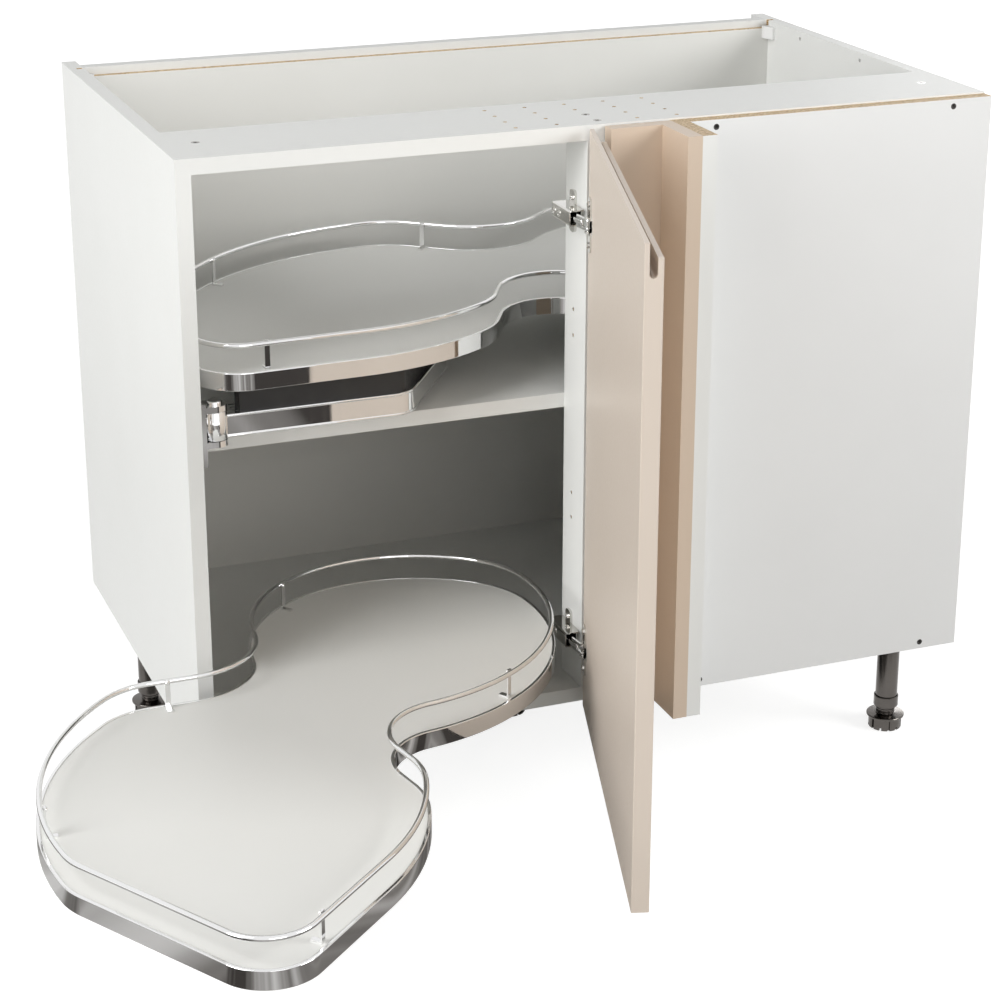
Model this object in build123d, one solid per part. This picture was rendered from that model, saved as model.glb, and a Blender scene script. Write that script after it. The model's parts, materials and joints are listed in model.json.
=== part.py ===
from build123d import *
import os
from math import atan2, cos, degrees, pi, radians, sin

# Blind corner base cabinet with two swing-out trays, millimetres, +Z up.
# The sizes are drawn from the left front corner: X = 0 is the outer face of the
# left side, Y = 0 the front plane of the carcass, Z = 0 the floor. The finished
# pieces are moved so that the origin is on the floor under the centre foot. The
# door stands ajar, the lower tray is swung out in front of the opening and the
# upper tray is stored inside.

# Carcass
CAB_WIDTH = 1000.0
CAB_DEPTH = 588.0
CAB_HEIGHT = 720.0
FOOT_HEIGHT = 150.0
BOARD = 18.0
BACK_THICK = 8.0
BACK_TOP_DROP = 10.0
BACK_REAR_GAP = 28.0
GROOVE_DEPTH = 9.0
GROOVE_PLAY = 0.15
REAR_RAIL_HEIGHT = 100.0
FRONT_RAIL_DEPTH = 138.0
SHELF_BOTTOM = 363.0
DOOR_OVERLAY = 18.5
UPRIGHT_DEPTH = 62.0
BORE_5 = 2.5
LINE_HOLE_DEPTH = 12.0
UPRIGHT_HOLE_SETBACK = 37.0
SHELF_HOLE_DROP = 133.3
SHELF_HOLE_RISE = 79.5
HOLE_PITCH = 32.0
RAIL_HOLE_SHIFT = -1.5
RAIL_HOLE_FRONT = 16.5
RAIL_HOLE_PITCH_X = 50.0
RAIL_HOLE_PITCH_Y = 33.0
RAIL_HOLE_COLUMNS = 5
RAIL_HOLE_ROWS = 4
SIDE_HOLE_DROP = 10.0
SIDE_HOLE_FRONT = 274.0
SIDE_HOLE_PITCH = 166.0
FITTING_RADIUS = 5.0
FITTING_DEPTH = 10.0
FITTING_SOCKET_RADIUS = 2.2
FITTING_SOCKET_DEPTH = 4.0
CAM_SETBACK = 25.0
CAM_DEPTH_AT = 75.0
MID_FITTING_FRONT = 20.5
MID_FITTING_PITCH = 33.5
CLIP_WIDTH = 26.0
CLIP_DEPTH = 12.0
CLIP_HEIGHT = 18.0
CLIP_DROP = 3.0
CLIP_BEVEL = 2.0

# Fixed front and corner post
FRONT_REVEAL = 2.0
BLIND_THICK = 16.0
FILLER_WIDTH = 63.5
POST_FRONT = 88.5
POST_BOARD = 18.0
FILLER_GAP = 2.0
FILLER_DOOR_GAP = 2.0
FILLER_THICK = 18.0
BLIND_SCREW_SIDE = 52.0
BLIND_SCREW_INNER = 34.0
BLIND_SCREW_END = 9.0
SCREW_HEAD_RADIUS = 3.6
SCREW_HEAD_DEPTH = 2.5
SCREW_SHANK_RADIUS = 1.9
SCREW_LENGTH = 24.0
SCREW_PLAY = 0.1

# Door with a finger slot along its top edge
DOOR_WIDTH = 497.0
DOOR_THICK = 19.0
DOOR_LEFT = 1.5
DOOR_GAP = 2.0
DOOR_OPENING = 72.8
SLOT_WIDTH = 8.5
SLOT_DEPTH = 35.0
INNER_LEAF = 5.0
OUTER_LEAF_DROP = 15.0
DOOR_EDGE_ROUND = 1.0

# Concealed hinges
HINGE_AXIS_INSET = 4.8
HINGE_AXIS_DEPTH = 1.1
HINGE_LOW = 83.0
HINGE_TOP_DROP = 106.0
CUP_EDGE = 22.0
CUP_RADIUS = 17.5
CUP_DEPTH = 11.5
CUP_PLAY = 0.1
CUP_POCKET_RADIUS = 13.0
CUP_POCKET_DEPTH = 9.0
CUP_FLANGE_HEIGHT = 63.0
CUP_FLANGE_WIDTH = 22.0
CUP_FLANGE_THICK = 2.0
CUP_SCREW_PITCH = 48.0
HINGE_LUG = 2.0
HINGE_LUG_WIDTH = 7.0
LINK_STANDOFF = 3.5
LINK_PIN_RADIUS = 1.4
LINK_PLAY = 0.05
LINK_EYE_RADIUS = 3.0
LINK_THICK = 4.0
LINK_HALF_HEIGHT = 3.0
LINK_LAYER_GAP = 0.4
FORK_HALF_HEIGHT = 7.0
LINK_LENGTH = 23.0
HINGE_ARM_PROUD = 21.0
HINGE_ARM_FRONT = 2.0
HINGE_ARM_LENGTH = 58.0
HINGE_ARM_HALF = 9.0
HINGE_ARM_WALL = 1.5
HINGE_CHANNEL_LENGTH = 30.0
ARM_PIN_STANDOFF = 16.0
ARM_PIN_Y = 6.0
PLATE_THICK = 3.0
PLATE_BODY_HALF = 8.0
PLATE_BODY_FRONT = 10.0
PLATE_BODY_LENGTH = 48.0
PLATE_WING_HALF = 25.0
PLATE_WING_WIDTH = 15.0
ADJUST_RADIUS = 3.5
ADJUST_PROUD = 0.8
ADJUST_FRONT = 34.0
ADJUST_PITCH = 14.0
ADJUST_RIM = 0.6

# Adjustable feet
LEG_SIDE = 45.0
LEG_FRONT = 70.0
LEG_REAR = 120.0
LEG_CENTRE_Y = 293.5
SOCKET_RADIUS = 30.0
SOCKET_THICK = 5.0
SOCKET_COLLAR_RADIUS = 19.0
SOCKET_COLLAR_LENGTH = 14.0
LEG_RADIUS = 14.5
STEM_PLAY = 0.3
LEG_COLLAR_RADIUS = 16.3
LEG_COLLAR_LENGTH = 15.0
LEG_BOTTOM = 31.0
STEM_RADIUS = 12.5
STEM_REACH = 26.0
THREAD_PITCH = 4.0
THREAD_DEPTH = 0.8
FOOT_FLANGE_RADIUS = 25.0
FOOT_FLANGE_THICK = 3.0
FOOT_BASE_RADIUS = 21.8
FOOT_BASE_HEIGHT = 16.0
FOOT_NOTCHES = 12
FOOT_NOTCH_WIDTH = 5.0
FOOT_NOTCH_DEPTH = 2.5

# Tray outline, travelled clockwise from the right end of its straight front edge
CORNER_R = 58.0
CORNER_TURN = 100.5
SHOULDER_R = 92.0
SHOULDER_TURN = 21.0
BACK_R = 365.0
BACK_TURN = 57.5
NECK_R = 89.0
NECK_TURN = 43.0
NECK_RUN = 50.0
WAIST_R = 91.0
WAIST_TURN = 86.5
LOBE_REAR_R = 190.0
LOBE_REAR_TURN = 76.0
LOBE_SIDE_R = 204.0
LOBE_SIDE_TURN = 52.0
LOBE_TIP_R = 124.0
LOBE_TIP_TURN = 40.0
LOBE_FRONT_R = 270.0
LOBE_FRONT_TURN = 91.0
HIP_R = 71.0
HIP_TURN = 94.5
HIP_RUN = 26.0
NOSE_R = 112.0
NOSE_TURN = 27.5
BREAST_R = 307.0
PIVOT_FROM_FRONT = 150.3
PIVOT_FROM_BREAST = 137.7
TRAY_LEFT_GAP = 7.6
TRAY_RIGHT_GAP = 57.5
TRAY_FRONT_GAP = 15.55
TRAY_BACK_GAP = 32.4
STORED_TURN = 1.7
OUT_TURN = 41.4

# Tray make-up, heights above the board that carries the mechanism
TRAY_TOP = 86.0
TRIM_HEIGHT = 21.0
TRIM_WALL = 1.5
TRIM_LIP = 4.0
TRIM_LIP_THICK = 1.0
DECK_THICK = 16.0
DECK_PLAY = 0.3
RAIL_RISE = 32.0
RAIL_RADIUS = 3.0
RAIL_INSET = 5.0
POST_WIDTH = 6.0
POST_THICK = 2.0
POST_FOOT = 13.0
POST_PLAY = 0.1
POST_SCREW_RADIUS = 2.6
POST_SCREW_PROUD = 1.6
POST_STATIONS = [115.0, 564.0, 915.0, 1241.0, 1909.0]
EXTENT_PARTS = 90

# Swing mechanism
SWING_PIN_STANDOFF = 22.0
SWING_PIN_Y = 28.0
PIN_RADIUS = 6.0
PIN_HEAD_RADIUS = 9.0
PIN_HEAD_HEIGHT = 4.0
RUNNING_PLAY = 0.05
MOVING_GAP = 0.3
HUB_RADIUS = 14.0
ARM_BOTTOM = 10.0
HUB_HEIGHT = 34.0
ARM_HEIGHT = 24.0
ARM_WIDTH = 38.0
ARM_LINE = 14.0
ARM_KNEE = 222.0
ARM_ROUND = 4.0
ARM_BEVEL = 1.5
OUT_SWING = -111.2
COVER_START = 30.0
COVER_WIDTH = 22.0
COVER_HEIGHT = 28.0
STUD_RADIUS = 8.0
BEARING_RADIUS = 60.0
EAR_THICK = 7.0
EAR_HALF = 14.0
BRACKET_THICK = 3.5
BRACKET_FRONT = 23.0
BRACKET_BACK = 30.0
BRACKET_TOP = 58.0
BRACKET_LIP = 6.5
BRACKET_LIP_THICK = 3.0
BRACKET_HANG = 16.0
BRACKET_SCREW_Y = 20.0
BRACKET_SCREW_LOW = 20.0
BRACKET_SCREW_PITCH = 26.0

# Derived places
CARCASS_Z = FOOT_HEIGHT
TOP_Z = FOOT_HEIGHT + CAB_HEIGHT
BASE_TOP = CARCASS_Z + BOARD
SHELF_Z = CARCASS_Z + SHELF_BOTTOM
SHELF_TOP = SHELF_Z + BOARD
INNER_LEFT = BOARD
INNER_RIGHT = CAB_WIDTH - BOARD
REAR_RAIL_BACK = CAB_DEPTH - BACK_REAR_GAP
REAR_RAIL_FRONT = REAR_RAIL_BACK - BOARD
BACK_FRONT = REAR_RAIL_FRONT - BACK_THICK
FRONT_TOP = TOP_Z - FRONT_REVEAL
DOOR_RIGHT = DOOR_LEFT + DOOR_WIDTH
DOOR_BACK = -DOOR_GAP
DOOR_FACE = DOOR_BACK - DOOR_THICK
UPRIGHT_LEFT = DOOR_RIGHT - DOOR_OVERLAY
UPRIGHT_RIGHT = UPRIGHT_LEFT + BOARD
UPRIGHT_HOLES = [SHELF_Z - SHELF_HOLE_DROP, SHELF_TOP + SHELF_HOLE_RISE]
FILLER_LEFT = DOOR_RIGHT + FILLER_DOOR_GAP
POST_LEFT = FILLER_LEFT + FILLER_WIDTH
POST_RIGHT = POST_LEFT + 2 * POST_BOARD
CUP_X = DOOR_RIGHT - CUP_EDGE
HINGE_HEIGHTS = [CARCASS_Z + HINGE_LOW, FRONT_TOP - HINGE_TOP_DROP]
HINGE_AXIS_X = DOOR_RIGHT - HINGE_AXIS_INSET
HINGE_AXIS_Y = DOOR_FACE + HINGE_AXIS_DEPTH
PLATE_FACE = UPRIGHT_LEFT - PLATE_THICK
ARM_FACE = UPRIGHT_LEFT - HINGE_ARM_PROUD
ARM_PIN_X = UPRIGHT_LEFT - ARM_PIN_STANDOFF
LEG_PLACES = {
    "front_left": (LEG_SIDE, LEG_FRONT),
    "front_right": (CAB_WIDTH - LEG_SIDE, LEG_FRONT),
    "back_left": (LEG_SIDE, CAB_DEPTH - LEG_REAR),
    "back_right": (CAB_WIDTH - LEG_SIDE, CAB_DEPTH - LEG_REAR),
    "centre": (CAB_WIDTH / 2, LEG_CENTRE_Y),
}
DECK_TOP = TRAY_TOP - TRIM_LIP_THICK
DECK_BOTTOM = DECK_TOP - DECK_THICK
COVER_TOP = ARM_BOTTOM + ARM_HEIGHT + COVER_HEIGHT
HUB_TOP = ARM_BOTTOM + HUB_HEIGHT
SWING_PIN_X = INNER_LEFT + SWING_PIN_STANDOFF


def block(x0, x1, y0, y1, z0, z1):
    """Box between two corners."""
    return Pos((x0 + x1) / 2, (y0 + y1) / 2, (z0 + z1) / 2) * Box(x1 - x0, y1 - y0, z1 - z0)


def rod(x, y, z0, z1, radius):
    """Upright cylinder."""
    return Pos(x, y, (z0 + z1) / 2) * Cylinder(radius, z1 - z0)


def rod_x(x0, x1, y, z, radius):
    """Cylinder along X."""
    return Pos((x0 + x1) / 2, y, z) * Rot(0, 90, 0) * Cylinder(radius, abs(x1 - x0))


def rod_y(y0, y1, x, z, radius):
    """Cylinder along Y."""
    return Pos(x, (y0 + y1) / 2, z) * Rot(90, 0, 0) * Cylinder(radius, abs(y1 - y0))


def turned(shape, x, y, angle):
    """Shape turned about an upright line."""
    return Pos(x, y, 0) * Rot(0, 0, angle) * Pos(-x, -y, 0) * shape


def ajar(shape):
    """A piece of the shut door, carried to the door's resting angle."""
    return turned(shape, HINGE_AXIS_X, HINGE_AXIS_Y, DOOR_OPENING)


def save(node, *solids):
    """Write one node, made of one or more solids."""
    placed = [Pos(-CAB_WIDTH / 2, -LEG_CENTRE_Y, 0) * solid for solid in solids]
    made = placed[0] if len(placed) == 1 else Compound(children=placed)
    export_step(made, f"parts/{node}.step")


# Carcass

def back_groove():
    """Room for the back panel, its edges let into both sides and the base."""
    return block(
        INNER_LEFT - GROOVE_DEPTH - GROOVE_PLAY, INNER_RIGHT + GROOVE_DEPTH + GROOVE_PLAY,
        BACK_FRONT - GROOVE_PLAY, BACK_FRONT + BACK_THICK + GROOVE_PLAY,
        BASE_TOP - GROOVE_DEPTH - GROOVE_PLAY, TOP_Z + BOARD)


def side_panel(x0, inner, outward):
    """Side with its back groove and the bores for the tray brackets."""
    panel = block(x0, x0 + BOARD, 0, CAB_DEPTH, CARCASS_Z, TOP_Z) - back_groove()
    if outward < 0:
        for carried, _ in TRAY_LEVELS:
            for z in bracket_screw_heights(carried):
                panel -= rod_x(inner - LINE_HOLE_DEPTH, inner, BRACKET_SCREW_DEPTH, z,
                               SCREW_SHANK_RADIUS + SCREW_PLAY)
    else:
        for step in range(2):
            panel -= rod_x(inner, inner + LINE_HOLE_DEPTH, SIDE_HOLE_FRONT + step * SIDE_HOLE_PITCH,
                           TOP_Z - SIDE_HOLE_DROP, BORE_5)
    return panel


def base_panel():
    """Bottom board, grooved for the back panel."""
    return block(INNER_LEFT, INNER_RIGHT, 0, REAR_RAIL_BACK, CARCASS_Z, BASE_TOP) - back_groove()


def shelf_panel():
    """Fixed middle shelf behind the upright."""
    return block(INNER_LEFT, INNER_RIGHT, UPRIGHT_DEPTH, BACK_FRONT - GROOVE_PLAY, SHELF_Z, SHELF_TOP)


def fitting_places():
    """Round fittings seen from above in the front rail."""
    cams = [(INNER_LEFT + CAM_SETBACK, CAM_DEPTH_AT), (INNER_RIGHT - CAM_SETBACK, CAM_DEPTH_AT)]
    middle = [(CAB_WIDTH / 2, MID_FITTING_FRONT + step * MID_FITTING_PITCH) for step in range(2)]
    return cams + middle


def front_rail():
    """Flat rail on top, with its grid of bores."""
    rail = block(INNER_LEFT, INNER_RIGHT, 0, FRONT_RAIL_DEPTH, TOP_Z - BOARD, TOP_Z)
    for column in range(RAIL_HOLE_COLUMNS):
        for row in range(RAIL_HOLE_ROWS):
            x = CAB_WIDTH / 2 + RAIL_HOLE_SHIFT + (column - RAIL_HOLE_COLUMNS // 2) * RAIL_HOLE_PITCH_X
            y = RAIL_HOLE_FRONT + row * RAIL_HOLE_PITCH_Y
            if column == RAIL_HOLE_COLUMNS // 2 and row < 2:
                continue
            rail -= rod(x, y, TOP_Z - LINE_HOLE_DEPTH, TOP_Z, BORE_5)
    for x, y in fitting_places():
        rail -= rod(x, y, TOP_Z - FITTING_DEPTH, TOP_Z, FITTING_RADIUS + SCREW_PLAY)
    return rail


def rail_fitting(x, y):
    """Round connector flush with the rail, with a driver socket."""
    body = rod(x, y, TOP_Z - FITTING_DEPTH, TOP_Z, FITTING_RADIUS)
    return body - rod(x, y, TOP_Z - FITTING_SOCKET_DEPTH, TOP_Z, FITTING_SOCKET_RADIUS)


def rear_rail():
    """Rail on edge behind the back panel."""
    return block(INNER_LEFT, INNER_RIGHT, REAR_RAIL_FRONT + GROOVE_PLAY, REAR_RAIL_BACK,
                 TOP_Z - REAR_RAIL_HEIGHT, TOP_Z)


def back_panel():
    """Thin back, let into grooves."""
    return block(INNER_LEFT - GROOVE_DEPTH, INNER_RIGHT + GROOVE_DEPTH, BACK_FRONT, BACK_FRONT + BACK_THICK,
                 BASE_TOP - GROOVE_DEPTH, TOP_Z - BACK_TOP_DROP)


def back_clip(x0):
    """Corner clip that holds the back panel to a side."""
    top = TOP_Z - BACK_TOP_DROP - CLIP_DROP
    clip = block(x0, x0 + CLIP_WIDTH, BACK_FRONT - CLIP_DEPTH, BACK_FRONT, top - CLIP_HEIGHT, top)
    return chamfer(clip.edges().group_by(Axis.Y)[0], CLIP_BEVEL)


def centre_upright():
    """Upright that carries the door."""
    upright = block(UPRIGHT_LEFT, UPRIGHT_RIGHT, 0, UPRIGHT_DEPTH, BASE_TOP, TOP_Z - BOARD)
    for start in UPRIGHT_HOLES:
        for step in range(2):
            upright -= rod_x(UPRIGHT_LEFT, UPRIGHT_LEFT + LINE_HOLE_DEPTH, UPRIGHT_HOLE_SETBACK,
                             start + step * HOLE_PITCH, BORE_5)
    for z in HINGE_HEIGHTS:
        for side in (-1, 1):
            upright -= rod_x(UPRIGHT_LEFT, UPRIGHT_LEFT + LINE_HOLE_DEPTH, UPRIGHT_HOLE_SETBACK,
                             z + side * HOLE_PITCH / 2, SCREW_SHANK_RADIUS + SCREW_PLAY)
    return upright


# Fixed front

def screw_cut_y(y_face, x, z, play):
    """Countersunk screw form along Y, its head flush with the face."""
    head = Pos(x, y_face + SCREW_HEAD_DEPTH / 2, z) * Rot(90, 0, 0) * Cone(
        SCREW_SHANK_RADIUS + play, SCREW_HEAD_RADIUS + play, SCREW_HEAD_DEPTH)
    return head + rod_y(y_face, y_face + SCREW_LENGTH, x, z, SCREW_SHANK_RADIUS + play)


def blind_screw_places():
    """The screws near the four corners of the fixed panel."""
    right = CAB_WIDTH - BLIND_SCREW_SIDE
    low = CARCASS_Z + BLIND_SCREW_END
    high = FRONT_TOP - BLIND_SCREW_END
    left = POST_RIGHT + BLIND_SCREW_INNER
    return [(left, low), (left, high), (right, low), (right, high)]


def blind_panel():
    """Fixed panel that closes the corner side."""
    panel = block(POST_RIGHT, CAB_WIDTH, -BLIND_THICK, 0, CARCASS_Z, FRONT_TOP)
    for x, z in blind_screw_places():
        panel -= screw_cut_y(-BLIND_THICK, x, z, SCREW_PLAY)
    return panel


def corner_filler():
    """Coloured leg of the corner post, parallel with the front."""
    return block(FILLER_LEFT, POST_LEFT, -FILLER_GAP - FILLER_THICK, -FILLER_GAP,
                 CARCASS_Z, FRONT_TOP)


def corner_board():
    """Coloured leg of the corner post, square to the front."""
    return block(POST_LEFT, POST_LEFT + POST_BOARD, -POST_FRONT, -FILLER_GAP,
                 CARCASS_Z, FRONT_TOP)


def corner_return():
    """Pale board behind the coloured one, from which the fixed panel starts."""
    return block(POST_RIGHT - POST_BOARD, POST_RIGHT, -POST_FRONT, 0, CARCASS_Z, FRONT_TOP)


# Door and hinges, drawn shut

def door():
    """Door with its finger slot along the top edge and the two cup bores."""
    leaf = block(DOOR_LEFT, DOOR_RIGHT, DOOR_FACE, DOOR_BACK, CARCASS_Z, FRONT_TOP)
    leaf = fillet(leaf.edges().filter_by(Axis.Z), DOOR_EDGE_ROUND)
    slot_y = DOOR_BACK - INNER_LEAF - SLOT_WIDTH / 2
    slot_z = FRONT_TOP - SLOT_DEPTH + SLOT_WIDTH / 2
    leaf -= block(DOOR_LEFT, DOOR_RIGHT, slot_y - SLOT_WIDTH / 2, slot_y + SLOT_WIDTH / 2, slot_z, FRONT_TOP)
    leaf -= rod_x(DOOR_LEFT, DOOR_RIGHT, slot_y, slot_z, SLOT_WIDTH / 2)
    leaf -= block(DOOR_LEFT, DOOR_RIGHT, DOOR_FACE, slot_y, FRONT_TOP - OUTER_LEAF_DROP, FRONT_TOP)
    for z in HINGE_HEIGHTS:
        leaf -= rod_y(DOOR_BACK - CUP_DEPTH - CUP_PLAY, DOOR_BACK, CUP_X, z, CUP_RADIUS + CUP_PLAY)
        for side in (-1, 1):
            leaf -= rod_y(DOOR_BACK - CUP_DEPTH, DOOR_BACK, CUP_X, z + side * CUP_SCREW_PITCH / 2,
                          SCREW_SHANK_RADIUS + SCREW_PLAY)
    return leaf


def hinge_cup(z):
    """Cup, its flange, and two lugs with the pin of the cup link."""
    flange_top = DOOR_BACK + CUP_FLANGE_THICK
    cup = rod_y(DOOR_BACK - CUP_DEPTH, DOOR_BACK, CUP_X, z, CUP_RADIUS)
    flange = block(CUP_X - CUP_FLANGE_WIDTH / 2, CUP_X + CUP_FLANGE_WIDTH / 2, DOOR_BACK, flange_top,
                   z - CUP_FLANGE_HEIGHT / 2, z + CUP_FLANGE_HEIGHT / 2)
    cup += fillet(flange.edges().filter_by(Axis.Y), CUP_FLANGE_WIDTH / 4)
    cup -= rod_y(DOOR_BACK - CUP_POCKET_DEPTH, flange_top, CUP_X, z, CUP_POCKET_RADIUS)
    lug_z = FORK_HALF_HEIGHT + LINK_LAYER_GAP
    floor = DOOR_BACK - CUP_POCKET_DEPTH
    for side in (-1, 1):
        low, high = sorted((side * lug_z, side * (lug_z + HINGE_LUG)))
        cup += block(CUP_X - HINGE_LUG_WIDTH / 2, CUP_X + HINGE_LUG_WIDTH / 2, floor,
                     DOOR_BACK + LINK_STANDOFF, z + low, z + high)
        cup += rod(CUP_X, DOOR_BACK + LINK_STANDOFF, z + low, z + high, HINGE_LUG_WIDTH / 2)
        cup -= rod_y(DOOR_BACK, flange_top, CUP_X, z + side * CUP_SCREW_PITCH / 2,
                     SCREW_SHANK_RADIUS + SCREW_PLAY)
    return cup + rod(CUP_X, DOOR_BACK + LINK_STANDOFF, z - lug_z, z + lug_z, LINK_PIN_RADIUS)


def pan_screw_y(y, x, z):
    """Pan-head screw on a face that looks along +Y."""
    head = rod_y(y, y + SCREW_HEAD_DEPTH, x, z, SCREW_HEAD_RADIUS)
    head = chamfer(head.edges().group_by(Axis.Y)[-1], SCREW_HEAD_DEPTH / 3)
    return head + rod_y(y - CUP_DEPTH, y, x, z, SCREW_SHANK_RADIUS)


def pan_screw_x(x, y, z, way):
    """Pan-head screw on a face that looks along -X (way -1) or +X (way 1)."""
    head = rod_x(x, x + way * SCREW_HEAD_DEPTH, y, z, SCREW_HEAD_RADIUS)
    rim = head.edges().group_by(Axis.X)[-1 if way > 0 else 0]
    return chamfer(rim, SCREW_HEAD_DEPTH / 3) + rod_x(x - way * LINE_HOLE_DEPTH, x, y, z, SCREW_SHANK_RADIUS)


def mounting_plate(z):
    """Plate on the upright: a body under the hinge arm and two screw wings."""
    body = block(PLATE_FACE, UPRIGHT_LEFT, PLATE_BODY_FRONT, PLATE_BODY_FRONT + PLATE_BODY_LENGTH,
                 z - PLATE_BODY_HALF, z + PLATE_BODY_HALF)
    wing = block(PLATE_FACE, UPRIGHT_LEFT, UPRIGHT_HOLE_SETBACK - PLATE_WING_WIDTH / 2,
                 UPRIGHT_HOLE_SETBACK + PLATE_WING_WIDTH / 2, z - PLATE_WING_HALF, z + PLATE_WING_HALF)
    plate = body + fillet(wing.edges().filter_by(Axis.X), PLATE_WING_WIDTH / 3)
    for side in (-1, 1):
        plate -= rod_x(PLATE_FACE, UPRIGHT_LEFT, UPRIGHT_HOLE_SETBACK, z + side * HOLE_PITCH / 2,
                       SCREW_SHANK_RADIUS + SCREW_PLAY)
    return plate


def adjust_places():
    """Places of the two adjusting screws along the hinge arm."""
    return [ADJUST_FRONT + step * ADJUST_PITCH for step in range(2)]


def hinge_arm(z):
    """Boxed arm, open at the front where the link turns on its pin."""
    arm = block(ARM_FACE, PLATE_FACE, HINGE_ARM_FRONT, HINGE_ARM_FRONT + HINGE_ARM_LENGTH,
                z - HINGE_ARM_HALF, z + HINGE_ARM_HALF)
    arm = fillet(arm.edges().filter_by(Axis.Y).group_by(Axis.X)[0], HINGE_ARM_WALL)
    arm -= block(ARM_FACE + HINGE_ARM_WALL, PLATE_FACE, HINGE_ARM_FRONT, HINGE_ARM_FRONT + HINGE_CHANNEL_LENGTH,
                 z - HINGE_ARM_HALF + HINGE_ARM_WALL, z + HINGE_ARM_HALF - HINGE_ARM_WALL)
    for y in adjust_places():
        arm -= rod_x(ARM_FACE, ARM_FACE + HINGE_ARM_PROUD / 2, y, z, ADJUST_RADIUS + SCREW_PLAY)
    inner = HINGE_ARM_HALF - HINGE_ARM_WALL
    return arm + rod(ARM_PIN_X, ARM_PIN_Y, z - inner, z + inner, LINK_PIN_RADIUS)


def adjusting_screw(y, z):
    """Adjusting screw of the hinge arm, with a cross slot."""
    screw = rod_x(ARM_FACE - ADJUST_PROUD, ARM_FACE + HINGE_ARM_PROUD / 2, y, z, ADJUST_RADIUS)
    for angle in (0, 90):
        slot = Pos(ARM_FACE - ADJUST_PROUD, y, z) * Rot(angle, 0, 0) * Box(
            2 * ADJUST_PROUD, ADJUST_PROUD, 2 * (ADJUST_RADIUS - ADJUST_RIM))
        screw -= slot
    return screw


def cup_pin_at_rest():
    """Where the pin in the cup stands with the door at rest."""
    angle = radians(DOOR_OPENING)
    dx = CUP_X - HINGE_AXIS_X
    dy = DOOR_BACK + LINK_STANDOFF - HINGE_AXIS_Y
    return (HINGE_AXIS_X + dx * cos(angle) - dy * sin(angle),
            HINGE_AXIS_Y + dx * sin(angle) + dy * cos(angle))


def link_heading():
    """Heading from the pin in the arm to the pin in the cup."""
    x, y = cup_pin_at_rest()
    return degrees(atan2(y - ARM_PIN_Y, x - ARM_PIN_X))


def bar(x, y, heading, z0, z1):
    """Flat link with round ends, from its pin outwards."""
    body = Pos(LINK_LENGTH / 2, 0, (z0 + z1) / 2) * Box(LINK_LENGTH, LINK_THICK, z1 - z0)
    body += rod(LINK_LENGTH, 0, z0, z1, LINK_THICK / 2)
    body += rod(0, 0, z0, z1, LINK_EYE_RADIUS)
    body -= rod(0, 0, z0, z1, LINK_PIN_RADIUS + LINK_PLAY)
    return Pos(x, y, 0) * Rot(0, 0, heading) * body


def arm_link(z):
    """Link that turns on the arm's pin."""
    return bar(ARM_PIN_X, ARM_PIN_Y, link_heading(), z - LINK_HALF_HEIGHT, z + LINK_HALF_HEIGHT)


def cup_link(z, side):
    """One of the two links that turn on the cup's pin, above and below the other."""
    x, y = cup_pin_at_rest()
    near, far = LINK_HALF_HEIGHT + LINK_LAYER_GAP, FORK_HALF_HEIGHT
    low, high = sorted((side * near, side * far))
    return bar(x, y, link_heading() + 180, z + low, z + high)


# Feet

def leg_socket(x, y):
    """Flanged socket screwed under the base."""
    socket = rod(x, y, CARCASS_Z - SOCKET_THICK, CARCASS_Z, SOCKET_RADIUS)
    socket += rod(x, y, CARCASS_Z - SOCKET_COLLAR_LENGTH, CARCASS_Z, SOCKET_COLLAR_RADIUS)
    return socket - rod(x, y, CARCASS_Z - SOCKET_COLLAR_LENGTH, CARCASS_Z - SOCKET_THICK,
                        LEG_RADIUS + SCREW_PLAY)


def leg_tube(x, y):
    """Tube with a thicker collar at its foot end, bored for the stem."""
    top = CARCASS_Z - SOCKET_THICK
    tube = rod(x, y, LEG_BOTTOM, top, LEG_RADIUS)
    tube += rod(x, y, LEG_BOTTOM, LEG_BOTTOM + LEG_COLLAR_LENGTH, LEG_COLLAR_RADIUS)
    return tube - rod(x, y, LEG_BOTTOM, top - SOCKET_THICK, STEM_RADIUS + STEM_PLAY)


def foot(x, y):
    """Threaded stem, flange and notched base, screwed into the tube."""
    seat = FOOT_BASE_HEIGHT + FOOT_FLANGE_THICK
    made = rod(x, y, 0, FOOT_BASE_HEIGHT, FOOT_BASE_RADIUS)
    for index in range(FOOT_NOTCHES):
        notch = Pos(FOOT_BASE_RADIUS, 0, FOOT_BASE_HEIGHT / 2) * Box(
            2 * FOOT_NOTCH_DEPTH, FOOT_NOTCH_WIDTH, FOOT_BASE_HEIGHT)
        made -= Pos(x, y, 0) * Rot(0, 0, index * 360 / FOOT_NOTCHES) * notch
    made += rod(x, y, FOOT_BASE_HEIGHT, seat, FOOT_FLANGE_RADIUS)
    made += rod(x, y, seat, LEG_BOTTOM + STEM_REACH, STEM_RADIUS - THREAD_DEPTH)
    turns = int((LEG_BOTTOM + STEM_REACH - seat) / THREAD_PITCH)
    for index in range(turns):
        low = seat + (index + 0.5) * THREAD_PITCH
        made += rod(x, y, low, low + THREAD_PITCH / 2, STEM_RADIUS)
    return made


# Tray outline

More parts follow.
